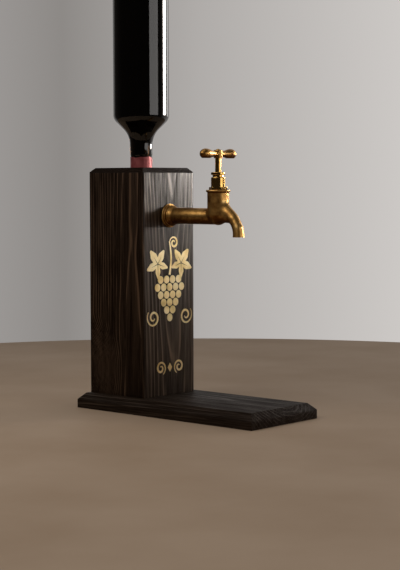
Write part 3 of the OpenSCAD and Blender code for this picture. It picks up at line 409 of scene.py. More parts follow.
front_pine = stained_pine("front_pine", standing, pith=(0.007, 0.105), lean=(-0.026, 0.006, 0),
                          spacing=0.0034, deep=(0.009, 0.0044, 0.0020), pale=(0.092, 0.055, 0.031),
                          rough=0.36, gloss=0.75, seed=1.4, figure=0.9)
left_pine = stained_pine("left_pine", standing, pith=(-0.105, 0.060), lean=(0.004, 0.010, 0),
                         spacing=0.0031, deep=(0.007, 0.0032, 0.0013), pale=(0.076, 0.043, 0.024),
                         rough=0.5, gloss=0.2, seed=5.2, figure=0.85, knot=(-0.05, 0.150, 0.055))
right_pine = stained_pine("right_pine", standing, pith=(0.118, 0.11), lean=(-0.02, -0.03, 0),
                          spacing=0.0055, deep=(0.006, 0.0030, 0.0013), pale=(0.062, 0.038, 0.022),
                          rough=0.5, seed=7.7)
back_pine = stained_pine("back_pine", standing, pith=(-0.02, 0.06), lean=(-0.03, 0.015, 0),
                         spacing=0.0053, deep=(0.006, 0.0030, 0.0013), pale=(0.062, 0.038, 0.022),
                         rough=0.5, seed=9.3)
top_pine = stained_pine("top_pine", along_x, pith=(-0.35, 0.07), lean=(0.02, 0.03, 0),
                        spacing=0.005, deep=(0.007, 0.0034, 0.0015), pale=(0.040, 0.023, 0.013),
                        rough=0.55, gloss=0.15, seed=2.6, figure=0.25, soak=0)
for board, pine in ((front_board, front_pine), (left_board, left_pine), (right_board, right_pine),
                    (back_board, back_pine), (top_board, top_pine)):
    hand_over(smoothed(board, 30), pine, "tower_wood", "stand", board.name.removesuffix("_piece"))


# Inner blocks: two blocks of bare sanded pine inside the tower. The upper one holds the bottle's
# neck and the stopper, and the lower one takes the screws from below.
def refinish(material, *nodes):
    """A node of the frame keeps its shape and gets its material."""
    for node in nodes:
        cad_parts[node].data.materials.clear()
        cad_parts[node].data.materials.append(material)


bare_pine = stained_pine("bare_pine", along_x, pith=(-0.3, 0.07), lean=(0.02, 0.01, 0),
                         spacing=0.0045, deep=(0.58, 0.40, 0.21), pale=(0.33, 0.19, 0.085),
                         rough=0.6, seed=4.4, figure=0.5, soak=0)
refinish(bare_pine, "socket_block", "foot_block")


# Wood screws: four yellow zinc-plated ones come up through the base into the foot block, and four
# browned ones hold the back board to the inner blocks.
def screw_steel(name, dark, light, rough):
    steel = finish_tree(name)
    place = put(steel, "TexCoord")
    stains = put(steel, "TexNoise", {"Vector": (place, "Object"), "Scale": 900.0, "Detail": 3.0})
    wear = put(steel, "TexNoise", {"Vector": (place, "Object"), "Scale": 5000.0, "Detail": 2.0})
    return surface(steel, Base_Color=ramp(steel, (stains, "Fac"), (0.35, dark), (0.65, light)), Metallic=1.0,
                   Roughness=put(steel, "MapRange", {"Value": (wear, "Fac"), "To Min": rough - 0.08,
                                                     "To Max": rough + 0.1}),
                   Normal=put(steel, "Bump", {"Height": (wear, "Fac"), "Strength": 0.2, "Distance": 0.0001}))


refinish(screw_steel("zinc_steel", (0.55, 0.47, 0.30), (0.72, 0.68, 0.58), 0.34), "base_screws")
refinish(screw_steel("bronze_steel", (0.16, 0.10, 0.05), (0.28, 0.19, 0.10), 0.45), "back_screws")


# Gold ornament: a bunch of grapes with leaves and scrolls, and two small scrolls below, cut from
# pale gold foil and pressed on the front board.
gold_leaf = finish_tree("gold_leaf")
place = put(gold_leaf, "TexCoord")
along_board = put(gold_leaf, "Mapping", {"Vector": (place, "Object"), "Scale": (1, 1, 0.05)})
wood_under = put(gold_leaf, "TexNoise", {"Vector": along_board, "Scale": 420.0, "Detail": 3.0})
patches = put(gold_leaf, "TexNoise", {"Vector": (place, "Object"), "Scale": 55.0, "Detail": 4.0})
gilt = ramp(gold_leaf, (patches, "Fac"), (0.3, (0.62, 0.45, 0.19)), (0.5, (0.84, 0.67, 0.35)),
            (0.72, (0.96, 0.84, 0.56)))
surface(gold_leaf, Base_Color=gilt, Metallic=1.0,
        Roughness=put(gold_leaf, "MapRange", {"Value": (patches, "Fac"), "To Min": 0.42, "To Max": 0.24}),
        Normal=put(gold_leaf, "Bump", {"Height": (wood_under, "Fac"), "Strength": 0.25, "Distance": 0.0003}))
refinish(gold_leaf, "front_ornament", "lower_ornament")


# Tap body: one brass casting with its pipe, barrel and spout, the edges run into each other by
# hollows. It is aged: brown in the hollows and rubbed bright on the edges. Painted shade darkens
# what faces down.
tap_y, rim_z, rim_round, shoulder_y = -42, 291, 1.5, 38.8
pipe_r, bulb_r, barrel_r, barrel_round, barrel_foot = 10.5, 11.2, 14, 8, 260
pipe_bead, pipe_hollow, hollow_from, hollow_to = 2, 0.9, 3.6, 8.3
shank_r, shank_end, tail_r, tail_end, way_r = 10.45, 68.5, 6.55, 81, 4.5
outlet_y, outlet_z, spout_bend_r, spout_bend_a = -76, 231, 35, math.radians(47)
spout_r, root_run, slope_run = 6.9, 3.6, 22
bend_y = outlet_y + spout_bend_r
slope_y = bend_y - spout_bend_r * math.cos(spout_bend_a)
slope_z = outlet_z + spout_bend_r * math.sin(spout_bend_a)


def on_slope(run):
    """Point on the middle of the spout's straight part, from where its bend ends."""
    return np.array((0, slope_y + run * math.sin(spout_bend_a), slope_z + run * math.cos(spout_bend_a)))


def run_in(a, b, width):
    """Joins two distances with a hollow of about the given width."""
    share = np.clip(0.5 + 0.5 * (b - a) / width, 0, 1)
    return b + (a - b) * share - width * share * (1 - share)


def rod(p, start, end, r0, r1=None):
    """Distance to a rod with round ends, which may taper."""
    start, end = np.array(start, float), np.array(end, float)
    run = end - start
    t = np.clip(((p - start) @ run) / (run @ run), 0, 1)
    return np.linalg.norm(p - start - t[..., None] * run, axis=-1) - (r0 + ((r1 or r0) - r0) * t)


def between(y, low, high):
    """Distance to a slab across the pipe."""
    return np.maximum(low - y, y - high)


def tap_form(p):
    x, y, z = p[..., 0], p[..., 1], p[..., 2]
    from_pipe = np.hypot(x, z - pipe_z)
    from_barrel = np.hypot(x, y - tap_y)
    pipe = np.maximum(from_pipe - pipe_r, between(y, tap_y, shoulder_y))
    pipe = np.minimum(pipe, np.linalg.norm(p - np.array((0, tap_y, pipe_z)), axis=-1) - bulb_r)
    barrel = np.hypot(np.maximum(from_barrel - (barrel_r - barrel_round), 0),
                      np.maximum(barrel_foot - z, 0)) - barrel_round
    barrel = np.maximum(barrel, z - (rim_z + 3))

    to_bend = np.hypot(y - bend_y, z - outlet_z)
    angle = np.arctan2(z - outlet_z, bend_y - y)
    tube = np.hypot(to_bend - spout_bend_r, x) - spout_r
    tube = np.where((angle > -0.4) & (angle < spout_bend_a), tube, 99.0)
    slope = rod(p, on_slope(0), on_slope(slope_run), spout_r)
    flare = rod(p, (0, outlet_y, outlet_z - 4), (0, outlet_y + 0.6, outlet_z + 11), 7.55, 6.0)
    root = rod(p, (0, tap_y - 6, pipe_z + 5), on_slope(root_run), 9.6, 5.8)
    throat = rod(p, (0, tap_y - 6, pipe_z), (0, bend_y - 26, outlet_z + 23.4), 7.6, 6.2)
    spout = run_in(run_in(run_in(np.minimum(tube, slope), root, 3.0), throat, 3.0), flare, 2.0)
    body = run_in(run_in(pipe, barrel, 3.0), spout, 4.0)

    bead = np.hypot(np.maximum(from_pipe - pipe_r - 0.8, 0), y - (shoulder_y - pipe_bead)) - pipe_bead
    reach = np.clip((shoulder_y - hollow_from - y) / (hollow_to - hollow_from), 0, 1)
    hollow = np.maximum(from_pipe - pipe_r - pipe_hollow * (1 + np.cos(np.pi * reach)),
                        between(y, shoulder_y - hollow_to, shoulder_y - 0.3))
    body = np.minimum(run_in(body, bead, 0.8), hollow)
    shank = np.maximum(from_pipe - shank_r, between(y, shoulder_y - 3, shank_end))
    tail = np.maximum(from_pipe - tail_r, between(y, 60, tail_end + 3))
    rim = np.hypot(np.maximum(from_barrel - (barrel_r + 0.25), 0), z - (rim_z - rim_round)) - rim_round
    return run_in(np.minimum(body, np.minimum(shank, tail)), rim, 1.0)


def cast(name, form, low, high, cell):
    """Mesh of the surface where a distance is nought: one point for each cell that it crosses,
    moved on to the surface along the slope of the distance."""
    ticks = [np.arange(a, b + cell, cell) for a, b in zip(low, high)]
    value = form(np.stack(np.meshgrid(*ticks, indexing="ij"), -1))
    inside = value < 0
    cells = tuple(n - 1 for n in value.shape)
    corner = [(i, j, k) for i in (0, 1) for j in (0, 1) for k in (0, 1)]
    part = [tuple(slice(o, o + n) for o, n in zip(c, cells)) for c in corner]
    count = sum(inside[s].astype(np.int8) for s in part)
    mixed = (count > 0) & (count < 8)
    total, hits = np.zeros(cells + (3,)), np.zeros(cells)
    for a in range(8):
        for b in range(a + 1, 8):
            step = np.array(corner[b]) - np.array(corner[a])
            if abs(step).sum() != 1:
                continue
            va, vb = value[part[a]], value[part[b]]
            cross = mixed & ((va < 0) != (vb < 0))
            share = np.where(cross, va / np.where(va == vb, 1, va - vb), 0)
            total += cross[..., None] * (np.array(corner[a]) + share[..., None] * step)
            hits += cross
    number = np.full(cells, -1)
    number[mixed] = np.arange(mixed.sum())
    points = np.argwhere(mixed) + total[mixed] / hits[mixed][:, None]
    points = np.array(low) + points * cell
    for _ in range(5):
        here, nudge = form(points), 0.02
        steps = nudge * np.eye(3)
        slope = np.stack([(form(points + step) - form(points - step)) / (2 * nudge) for step in steps], -1)
        away = (here / np.maximum((slope ** 2).sum(-1), 0.25))[:, None] * slope
        far = np.linalg.norm(away, axis=1, keepdims=True)
        points -= away * np.minimum(1, 0.4 * cell / np.maximum(far, 1e-9))
    faces = []
    for axis in range(3):
        u, v = (axis + 1) % 3, (axis + 2) % 3
        lower = [slice(1, n) for n in cells]
        lower[axis] = slice(0, cells[axis])
        upper = list(lower)
        upper[axis] = slice(1, cells[axis] + 1)
        flips = inside[tuple(lower)] != inside[tuple(upper)]
        spots = np.argwhere(flips)
        spots[:, u] += 1
        spots[:, v] += 1
        ring = []
        for du, dv in ((1, 1), (0, 1), (0, 0), (1, 0)):
            c = spots.copy()
            c[:, u] -= du
            c[:, v] -= dv
            ring.append(number[tuple(c.T)])
        quad = np.stack(ring, 1)
        outward = inside[tuple(lower)][flips]
        quad[~outward] = quad[~outward][:, ::-1]
        faces.append(quad)
    mesh = bpy.data.meshes.new(name)
    mesh.from_pydata((points * MM).tolist(), [], np.concatenate(faces).tolist())
    mesh.validate()
    return mesh


def aged_and_shaded_brass(name, dark, mid, light, low_rough, high_rough, worn):
    """Brass browned with age in blotches and rubbed on its edges; painted shade darkens what faces down."""
    brass = finish_tree(name)
    place = put(brass, "TexCoord")
    blotches = put(brass, "TexNoise", {"Vector": (place, "Object"), "Scale": 90.0, "Detail": 5.0,
                                       "Roughness": 0.55})
    grit = put(brass, "TexNoise", {"Vector": (place, "Object"), "Scale": 1500.0, "Detail": 3.0})
    edges = put(brass, "MapRange", {"Value": (put(brass, "NewGeometry"), "Pointiness"), "From Min": 0.46,
                                    "From Max": 0.56, "To Min": -worn, "To Max": worn})
    # Painted shade: faces that point down get a darker colour, standing in for the shade beneath them.
    upward = put(brass, "SeparateXYZ", {"Vector": (place, "Normal")})
    under = put(brass, "MapRange", {"Value": (upward, "Z"), "From Min": -0.8, "From Max": 0.25,
                                    "To Min": -0.34, "To Max": 0.0}, interpolation_type="SMOOTHSTEP")
    age_and_shade = put(brass, "Math", {0: (blotches, "Fac"), 1: (edges, 0)}, operation="ADD")
    age_and_shade = put(brass, "Math", {0: age_and_shade, 1: (under, 0)}, operation="ADD")
    rough = put(brass, "MapRange", {"Value": age_and_shade, "From Min": 0.3, "From Max": 0.7,
                                    "To Min": high_rough, "To Max": low_rough})
    skin = put(brass, "Math", {0: (blotches, "Fac"), 1: 0.6, 2: (grit, "Fac")}, operation="MULTIPLY_ADD")
    bump = put(brass, "Bump", {"Height": skin, "Strength": 0.16, "Distance": 0.0001})
    return surface(brass, Base_Color=ramp(brass, age_and_shade, (0.22, dark), (0.5, mid), (0.72, light)), Metallic=1.0,
                   Roughness=(rough, 0), Normal=bump)


# Dark end of the brass ramp, reached by the age blotches and by the painted shade on what faces down.
brown_brass = (0.13, 0.050, 0.012)
cast_brass = aged_and_shaded_brass("cast_brass", brown_brass, (0.50, 0.275, 0.080), (0.66, 0.43, 0.165),
                        low_rough=0.35, high_rough=0.45, worn=0.12)
tap = cast("tap_body_piece", tap_form, (-17, -86, 222), (17, 86, 296), 0.7)
work = bmesh.new()
work.from_mesh(tap)
planed(work, [((0, 0, rim_z), (0, 0, 1)), ((0, 0, outlet_z), (0, 0, -1)), ((0, tail_end, 0), (0, 1, 0))])
tap_body = piece_of(work, "tap_body_piece")
seat_r, seat_z, room_r, room_z = 6.8, 266.5, 10, 264
thread_r, thread_z, recess_r, recess_z, above = 10.55, 278, 11.95, 290.2, 296
chamber = [(0, pipe_z), (way_r, pipe_z), (way_r, seat_z), (seat_r, seat_z), (seat_r, room_z),
           (room_r, room_z), (room_r, thread_z), (thread_r, thread_z), (thread_r, recess_z),
           (recess_r, recess_z), (recess_r, above), (0, above)]
way_path = [np.array((0, outlet_y, outlet_z - 5))] + [
    np.array((0, bend_y - spout_bend_r * math.cos(a), outlet_z + spout_bend_r * math.sin(a)))
    for a in np.linspace(0, spout_bend_a, 13)] + [on_slope(20)]


def swept(name, path, radius, seats=48):
    """Round bar along a path in the plane of X = 0."""
    work, rows = bmesh.new(), []
    for i, spot in enumerate(path):
        ahead = path[min(i + 1, len(path) - 1)] - path[max(i - 1, 0)]
        ahead = ahead / np.linalg.norm(ahead)
        side = np.array((0, -ahead[2], ahead[1]))
        around = [math.cos(a) * np.array((1, 0, 0)) + math.sin(a) * side
                  for a in np.linspace(0, 2 * math.pi, seats, endpoint=False)]
        rows.append([work.verts.new((spot + radius * outward) * MM) for outward in around])
    for near, far in zip(rows, rows[1:]):
        for i in range(seats):
            work.faces.new((near[i], near[(i + 1) % seats], far[(i + 1) % seats], far[i]))
    work.faces.new(rows[0])
    work.faces.new(rows[-1])
    bmesh.ops.recalc_face_normals(work, faces=work.faces)
    return piece_of(work, name)


outlet_r, outlet_lip, outlet_l = 5, 0.6, 6
bored(tap_body, turned("drill", chamber, (0, tap_y, 0), (0, 0, 1), 96),
      drill(way_r, 130, (0, tap_y, pipe_z), (0, 1, 0), 64),
      swept("drill", way_path, way_r),
      turned("drill", [(0, -5), (outlet_r + outlet_lip, -5), (outlet_r + outlet_lip, 0),
                       (outlet_r, outlet_lip), (outlet_r, outlet_l), (0, outlet_l)],
             (0, outlet_y, outlet_z), (0, 0, 1), 64))
hand_over(smoothed(tap_body, 40), cast_brass, "cast_brass", "stand", "tap_body")


# Wall flange: a turned brass disc with a groove and a bead, pressed on its washer by the collar
# of the pipe.
washer_r, washer_t, disc_edge, bead_edge, flange_t = 13.05, 1.5, 1.0, 0.9, 4.2
flange = turned("wall_flange_piece", [(pipe_r, washer_t), (washer_r, washer_t), (washer_r, 0), (14.2, 0)]
                + bend(14.7, disc_edge, disc_edge, -90, 90, 8) + [(14.0, 2.0), (13.75, 2.25)]
                + bend(13.4, flange_t - bead_edge, bead_edge, -75, 90, 8) + [(pipe_r, flange_t)],
                (0, tower_front, pipe_z), (0, -1, 0), 160)
hand_over(smoothed(flange, 40), cast_brass, "cast_brass", "stand", "wall_flange")


# Fixings inside the tower: a washer and a nut hold the tap, and an elbow turns the wine's way up
# through the rubber stopper. An air tube runs up beside it.
def machined(name, dark, light, rough, rings):
    """Metal as it comes off the lathe, with faint rings round it."""
    metal = finish_tree(name)
    place = put(metal, "TexCoord")
    marks = put(metal, "TexNoise", {"Vector": (place, "Object"), "Scale": 260.0, "Detail": 5.0,
                                    "Roughness": 0.6})
    fine = put(metal, "Mapping", {"Vector": (place, "Object"), "Scale": (0.05, 0.05, 1.0)})
    lines = put(metal, "TexNoise", {"Vector": fine, "Scale": 6000.0, "Detail": 2.0})
    skin = put(metal, "Math", {0: (lines, "Fac"), 1: rings, 2: (marks, "Fac")}, operation="MULTIPLY_ADD")
    polish = put(metal, "MapRange", {"Value": (marks, "Fac"), "From Min": 0.3, "From Max": 0.7,
                                     "To Min": rough + 0.06, "To Max": rough - 0.04})
    return surface(metal, Base_Color=ramp(metal, (marks, "Fac"), (0.32, dark), (0.62, light)), Metallic=1.0,
                   Roughness=polish,
                   Normal=put(metal, "Bump", {"Height": skin, "Strength": 0.06, "Distance": 0.0001}))


def moulded(name, dark, light, rough, bump):
    """Rubber, fibre or packing, with a fine grain."""
    stuff = finish_tree(name)
    place = put(stuff, "TexCoord")
    specks = put(stuff, "TexNoise", {"Vector": (place, "Object"), "Scale": 900.0, "Detail": 4.0})
    skin = put(stuff, "Bump", {"Height": (specks, "Fac"), "Strength": bump, "Distance": 0.0002})
    return surface(stuff, Base_Color=ramp(stuff, (specks, "Fac"), (0.3, dark), (0.7, light)),
                   Roughness=put(stuff, "MapRange", {"Value": (specks, "Fac"), "To Min": rough - 0.08,
                                                     "To Max": rough + 0.08}), Normal=skin)


bright_brass = machined("bright_brass", (0.62, 0.42, 0.17), (0.82, 0.62, 0.30), 0.28, 0.4)
black_rubber = moulded("black_rubber", (0.010, 0.010, 0.010), (0.022, 0.021, 0.020), 0.6, 0.3)
refinish(bright_brass, "backing_washer", "back_nut", "outlet_elbow")
refinish(black_rubber, "wall_washer", "elbow_washer")
refinish(moulded("stopper_rubber", (0.48, 0.42, 0.34), (0.58, 0.53, 0.44), 0.55, 0.2), "bottle_stopper")
refinish(machined("tube_steel", (0.52, 0.52, 0.52), (0.68, 0.68, 0.68), 0.22, 0.5), "vent_tube")


# Bonnet and gland: a six-sided collar and a polished drum screwed into the barrel, with a thin
# gland nut on top that presses the packing on the spindle.
turned_brass = machined("turned_brass", (0.50, 0.27, 0.065), (0.70, 0.43, 0.13), 0.13, 0.8)
collar_af, collar_t, collar_bore, collar_arris = 21, 3.4, 8.0, 0.2
drum_r, bonnet_z, neck_z, gland_z, gland_top = 9.2, 294.4, 307.1, 309.9, 313.5


def ringed(name, rows):
    """Closed skin over rings of points of equal number, the last one joined to the first."""
    seats, faces = len(rows[0]), []
    for k in range(len(rows)):
        for i in range(seats):
            j, n = (i + 1) % seats, (k + 1) % len(rows)
            faces.append((k * seats + i, k * seats + j, n * seats + j, n * seats + i))
    mesh = bpy.data.meshes.new(name)
    mesh.from_pydata([Vector(spot) * MM for row in rows for spot in row], [], faces)
    return show(name, mesh)


def six_sided(name, af, height, centre, bore, crown=0.96, seats=144):
    """Six-sided block along +Z with its upper corners turned off and a bore through it."""
    corner, sixth = af / math.sqrt(3), math.pi / 3
    angles = [2 * math.pi * i / seats for i in range(seats)]

    def ring(radii, level):
        return [(centre[0] + r * math.cos(a), centre[1] + r * math.sin(a), centre[2] + level)
                for r, a in zip(radii, angles)]

    rows = []
    for level in [0.0, 0.25] + [height * t for t in (0.2, 0.4, 0.6, 0.7, 0.78, 0.85, 0.91, 0.96, 1.0)]:
        cone = corner + height / 2 + (corner * crown - corner - height / 2) * level / height
        flats = [af / 2 / math.cos(a % sixth - sixth / 2) for a in angles]
        eased_by = collar_arris if level == 0 else 0
        rows.append(ring([min(r, cone, corner - 0.12) - eased_by for r in flats], level))
    rows += [ring([bore] * seats, height), ring([bore] * seats, 0.0)]
    return ringed(name, rows)


def joined(piece, *others):
    """Puts the meshes of others into a piece."""
    work = bmesh.new()
    for part in (piece, *others):
        work.from_mesh(part.data)
    work.to_mesh(piece.data)
    work.free()
    for part in others:
        bpy.data.objects.remove(part)
    return piece


collar = six_sided("bonnet_piece", collar_af, collar_t, (0, tap_y, rim_z), collar_bore)
drum_edge, packing_r, spindle_hole_r, inner_thread_r, outer_thread_r = 0.9, 6, 4, 6.35, 10.5
drum = turned("drum", [(inner_thread_r, thread_z), (outer_thread_r, thread_z), (outer_thread_r, rim_z),
                       (collar_bore + 0.1, rim_z), (collar_bore + 0.1, bonnet_z - 0.3),
                       (drum_r, bonnet_z), (drum_r, neck_z - drum_edge)]
              + bend(drum_r - drum_edge, neck_z - drum_edge, drum_edge, 0, 80, 6)
              + bend(7.9, neck_z + 0.55, 0.7, 260, 180, 4)
              + [(7.2, gland_z), (packing_r, gland_z), (packing_r, 299), (spindle_hole_r, 299),
                 (spindle_hole_r, 297), (inner_thread_r, 297)], (0, tap_y, 0), (0, 0, 1), 160)
hand_over(smoothed(joined(collar, drum), 32), turned_brass, "turned_brass", "stand", "bonnet")
press_r, press_z, gland_edge = 5.95, 304.5, 0.6
gland = turned("gland_nut_piece", [(spindle_hole_r, press_z), (press_r, press_z), (press_r, gland_z),
                                   (7.9, gland_z)]
               + bend(drum_r - gland_edge, gland_z + gland_edge, gland_edge, -90, 0, 5)
               + bend(drum_r - gland_edge, gland_top - 0.7, gland_edge, 0, 90, 5)
               + [(5.0, gland_top - 0.1), (4.6, gland_top - 0.5), (spindle_hole_r, gland_top - 0.5)],
               (0, tap_y, 0), (0, 0, 1), 160)
hand_over(smoothed(gland, 40), turned_brass, "turned_brass", "stand", "gland_nut")
refinish(moulded("red_fibre", (0.14, 0.035, 0.02), (0.21, 0.06, 0.03), 0.7, 0.3), "bonnet_washer")
refinish(moulded("white_packing", (0.72, 0.72, 0.66), (0.82, 0.82, 0.77), 0.5, 0.2), "gland_packing")
refinish(bright_brass, "gland_washer")


# Valve: a brass disc whose pin stands in the spindle, with a rubber washer held under it by a small
# nut. The spindle lifts it off the seat in the barrel.
refinish(bright_brass, "jumper_valve", "washer_nut")
refinish(black_rubber, "valve_washer")


# Spindle and handle: a polished spindle that screws down through the gland, a cast tee handle
# with two pear-shaped arms, and the slotted screw that holds it.
spindle_z, thread_top, thread_pitch, thread_turns = 272, 291, 1, 17
root_of_thread, crest, stem_r, pin_way_r = 5.6, 6.3, 3.9, 2.45
hub_z, stub_r, stub_h, screw_hole_r = 331.2, 3.2, 8, 1.65
thread = []
for k in range(thread_turns):
    low = spindle_z + (1 + k) * thread_pitch
    thread += [(root_of_thread, low), (root_of_thread, low + 0.2), (crest, low + 0.45), (crest, low + 0.7)]
spindle = turned("spindle_piece", [(pin_way_r, spindle_z), (root_of_thread - 0.2, spindle_z)] + thread
                 + [(root_of_thread, thread_top), (4.5, thread_top), (stem_r, thread_top + 0.6),
                    (stem_r, hub_z - 0.3), (stem_r - 0.3, hub_z), (stub_r, hub_z),
                    (stub_r, hub_z + stub_h - 0.3), (stub_r - 0.3, hub_z + stub_h),
                    (screw_hole_r, hub_z + stub_h), (screw_hole_r, hub_z), (pin_way_r, spindle_z + 12)],
                 (0, tap_y, 0), (0, 0, 1), 128)
hand_over(smoothed(spindle, 40), turned_brass, "turned_brass", "handle", "spindle")

hub_r, hub_h, hub_round, arm_z, arm_from = 5.6, 10.6, 1.2, 336.6, 7.6
arm_r, lobe_r, lobe_out, handle_half = 3.8, 6.7, 24.1, 33


def handle_form(p):
    out, across, z = np.abs(p[..., 0]), p[..., 1] - tap_y, p[..., 2]
    from_hub = np.hypot(out, across)
    hub = np.hypot(np.maximum(from_hub - (hub_r - hub_round), 0),
                   np.maximum(z - (hub_z + hub_h - hub_round), 0)) - hub_round
    hub = np.maximum(hub, hub_z - 2 - z)
    from_arm = np.hypot(across, z - arm_z)
    along = np.clip((out - arm_from) / (lobe_out - arm_from), 0, 1)
    swell = from_arm - arm_r - (lobe_r - arm_r) * (1 - np.cos(np.pi * along)) / 2
    tip = (np.hypot(from_arm / lobe_r, (out - lobe_out) / (handle_half - lobe_out)) - 1) * 7.2
    return run_in(hub, np.where(out > lobe_out, tip, swell), 0.9)


handle = cast("tee_handle_piece", handle_form, (-35, tap_y - 9, hub_z - 4), (35, tap_y + 9, hub_z + 13), 0.45)
work = bmesh.new()
work.from_mesh(handle)
planed(work, [((0, 0, hub_z), (0, 0, -1))])
handle = piece_of(work, "tee_handle_piece")
hole_r, hole_h = stub_r + 0.05, stub_h + 0.4
bored(handle, turned("drill", [(0, -2), (hole_r, -2), (hole_r, hole_h), (screw_hole_r, hole_h),
                               (screw_hole_r, 14), (0, 14)], (0, tap_y, hub_z), (0, 0, 1), 64))
worn_and_shaded_brass = aged_and_shaded_brass("handle_brass", brown_brass, (0.42, 0.225, 0.062), (0.56, 0.35, 0.125),
                        low_rough=0.33, high_rough=0.40, worn=0.02)
hand_over(smoothed(handle, 40), worn_and_shaded_brass, "cast_brass", "handle", "tee_handle")

cap_z, cap_r, dome_h, shank_low, slot_half = hub_z + hub_h, 3, 1.4, hub_z + 2.7, 0.4
dome_r = (cap_r ** 2 + dome_h ** 2) / (2 * dome_h)
dome_a = math.degrees(math.asin(cap_r / dome_r))
cap = turned("handle_screw_piece", [(0, shank_low), (1.6, shank_low), (1.6, cap_z)]
             + bend(0, cap_z + dome_h - dome_r, dome_r, 90 - dome_a, 90, 10), (0, tap_y, 0), (0, 0, 1), 96)
bored(cap, piece_of(sawn([(-slot_half, tap_y - 5), (slot_half, tap_y - 5), (slot_half, tap_y + 5),
                          (-slot_half, tap_y + 5)], cap_z + 0.7, cap_z + 3), "slot"))
hand_over(smoothed(cap, 35), turned_brass, "turned_brass", "handle", "handle_screw")


# Bottle: a standard wine bottle upside down, blown in very dark glass, with a ring at its mouth
# and a hollow in its bottom. A wine-red foil capsule is shrunk on its neck.
mouth_z, bottle_top, glass_t, mouth_r = 281, 581, 3, 9.25
neck_r, neck_waist, ring_l, root_r, body_r = 14.4, 0.65, 6.3, 15.3, 37.5
sweep_r, round_r, heel_r, punt_h, punt_half = 28, 14, 7, 20, 24
capsule_l, neck_l, shoulder_a = 54, 70, 46
shoulder = math.radians(shoulder_a)
capsule_z, sweep_z, turn_r = mouth_z + capsule_l, mouth_z + neck_l, body_r - round_r
join_r = root_r + sweep_r * (1 - math.cos(shoulder))
cone_r = body_r - round_r * (1 - math.cos(shoulder))
body_z = sweep_z + (sweep_r + round_r) * math.sin(shoulder) + (cone_r - join_r) / math.tan(shoulder)
punt_r = (punt_half ** 2 + punt_h ** 2) / (2 * punt_h)
punt_a = math.degrees(math.asin(punt_half / punt_r))
sweep_in = sweep_r + glass_t
in_join_z = body_z - (round_r - glass_t) * math.sin(shoulder)
in_join_r = turn_r + (round_r - glass_t) * math.cos(shoulder)
in_sweep_z = in_join_z - sweep_in * math.sin(shoulder) - (
    in_join_r - mouth_r - sweep_in * (1 - math.cos(shoulder))) / math.tan(shoulder)
punt_z = bottle_top - punt_h + punt_r
swelling = [(neck_r + out, capsule_z + up)
            for out, up in ((0, 0), (0.1, 0.7), (0.4, 1.7), (0.65, 3), (0.75, 5))]
outside = (bend(mouth_r + 1.2, mouth_z + 1.2, 1.2, 180, 270, 4)
           + bend(neck_r - 1.5, mouth_z + 1.5, 1.5, -90, 0, 5)
           + bend(neck_r - 0.7, mouth_z + ring_l - 1, 0.7, 0, 90, 4)
           + [(neck_r - neck_waist, mouth_z + ring_l), *swelling, (root_r - 0.1, sweep_z - 4)]
           + bend(root_r + sweep_r, sweep_z, sweep_r, 180, 180 - shoulder_a, 24)
           + bend(turn_r, body_z, round_r, -shoulder_a, 0, 16)
           + bend(body_r - heel_r, bottle_top - heel_r, heel_r, 0, 90, 10)
           + bend(punt_half + 2.5, bottle_top - 1.2, 1.2, 90, 150, 4)
           + bend(0, punt_z, punt_r, punt_a - 92, -90, 20))
inside = (bend(0, punt_z, punt_r + glass_t, -90, punt_a - 90, 20)
          + bend(body_r - heel_r, bottle_top - heel_r, heel_r - glass_t, 90, 0, 6)
          + bend(turn_r, body_z, round_r - glass_t, 0, -shoulder_a, 14)
          + bend(mouth_r + sweep_in, in_sweep_z, sweep_in, 180 - shoulder_a, 180, 20))
bottle = turned("bottle_glass_piece", outside + inside, (0, tower_mid, 0), (0, 0, 1), 160)
dark_glass = finish_tree("dark_glass")
place = put(dark_glass, "TexCoord")
ripple = put(dark_glass, "TexNoise", {"Vector": (place, "Object"), "Scale": 28.0, "Detail": 1.0})
near_black = ramp(dark_glass, (ripple, "Fac"), (0.3, (0.004, 0.0022, 0.0012)),
                  (0.7, (0.007, 0.004, 0.0022)))
surface(dark_glass, Base_Color=near_black,
        Roughness=put(dark_glass, "MapRange", {"Value": (ripple, "Fac"), "To Min": 0.02, "To Max": 0.05}),
        IOR=1.5, Transmission_Weight=0.92,
        Normal=put(dark_glass, "Bump", {"Height": (ripple, "Fac"), "Strength": 0.05, "Distance": 0.002}))
hand_over(smoothed(bottle, 40), dark_glass, "bottle_glass", "bottle",
          "bottle_neck", "bottle_body", "bottle_foot")

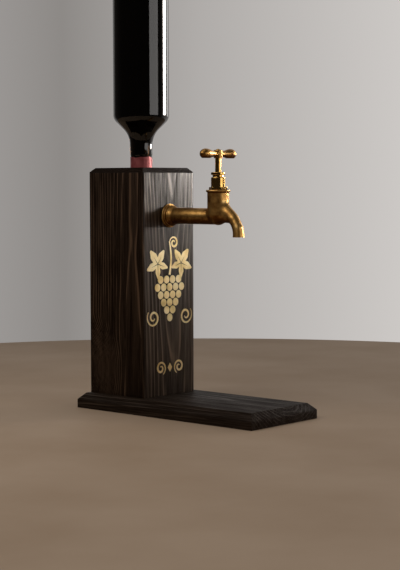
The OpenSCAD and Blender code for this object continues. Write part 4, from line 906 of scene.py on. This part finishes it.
foil_t, foil_gap, foil_waist, wavy_from, crease_h, wave_h = 0.3, 0.15, 0.7, 40, 0.05, 0.8


def foil_capsule(seats=192):
    """Foil skirt that follows the neck, with a wavy upper edge and fine upright creases."""
    heights = [0.3] + list(np.linspace(0.8, 5.6, 6)) + [6.15, 6.5, 7.0] + list(np.linspace(9, capsule_l, 22))
    outer, lining = [], []
    for up in heights:
        ring_out, ring_in = [], []
        neck = neck_r if up < ring_l else neck_r - foil_waist * (1 - up / capsule_l)
        fade = max(0, (up - wavy_from) / (capsule_l - wavy_from)) ** 2
        drop = wave_h if up >= capsule_l else 0
        for i in range(seats):
            a = 2 * math.pi * i / seats
            crease = crease_h * math.sin(23 * a + 0.15 * up) * math.sin(9 * a + 1.3) ** 2
            wave = (0.5 * math.sin(3 * a + 0.8) + 0.3 * math.sin(7 * a)) * fade - drop
            in_r, out_r = neck + foil_gap, neck + foil_gap + foil_t + crease - crease_h
            for row, r in ((ring_out, out_r), (ring_in, in_r)):
                row.append((r * math.cos(a), tower_mid + r * math.sin(a), mouth_z + up + wave))
        outer.append(ring_out)
        lining.append(ring_in)
    return ringed("bottle_capsule_piece", outer + lining[::-1])


wine_foil = finish_tree("wine_foil")
place = put(wine_foil, "TexCoord")
upright = put(wine_foil, "Mapping", {"Vector": (place, "Object"), "Scale": (1, 1, 0.12)})
creases = put(wine_foil, "TexNoise", {"Vector": upright, "Scale": 700.0, "Detail": 3.0})
mottle = put(wine_foil, "TexNoise", {"Vector": (place, "Object"), "Scale": 140.0, "Detail": 4.0})
wine_red = ramp(wine_foil, (mottle, "Fac"), (0.3, (0.21, 0.040, 0.042)), (0.7, (0.33, 0.085, 0.085)))
surface(wine_foil, Base_Color=wine_red, Metallic=0.5,
        Roughness=put(wine_foil, "MapRange", {"Value": (mottle, "Fac"), "To Min": 0.40, "To Max": 0.52}),
        Normal=put(wine_foil, "Bump", {"Height": (creases, "Fac"), "Strength": 0.25, "Distance": 0.0003}))
hand_over(smoothed(foil_capsule(), 40), wine_foil, "capsule_foil", "bottle", "bottle_capsule")
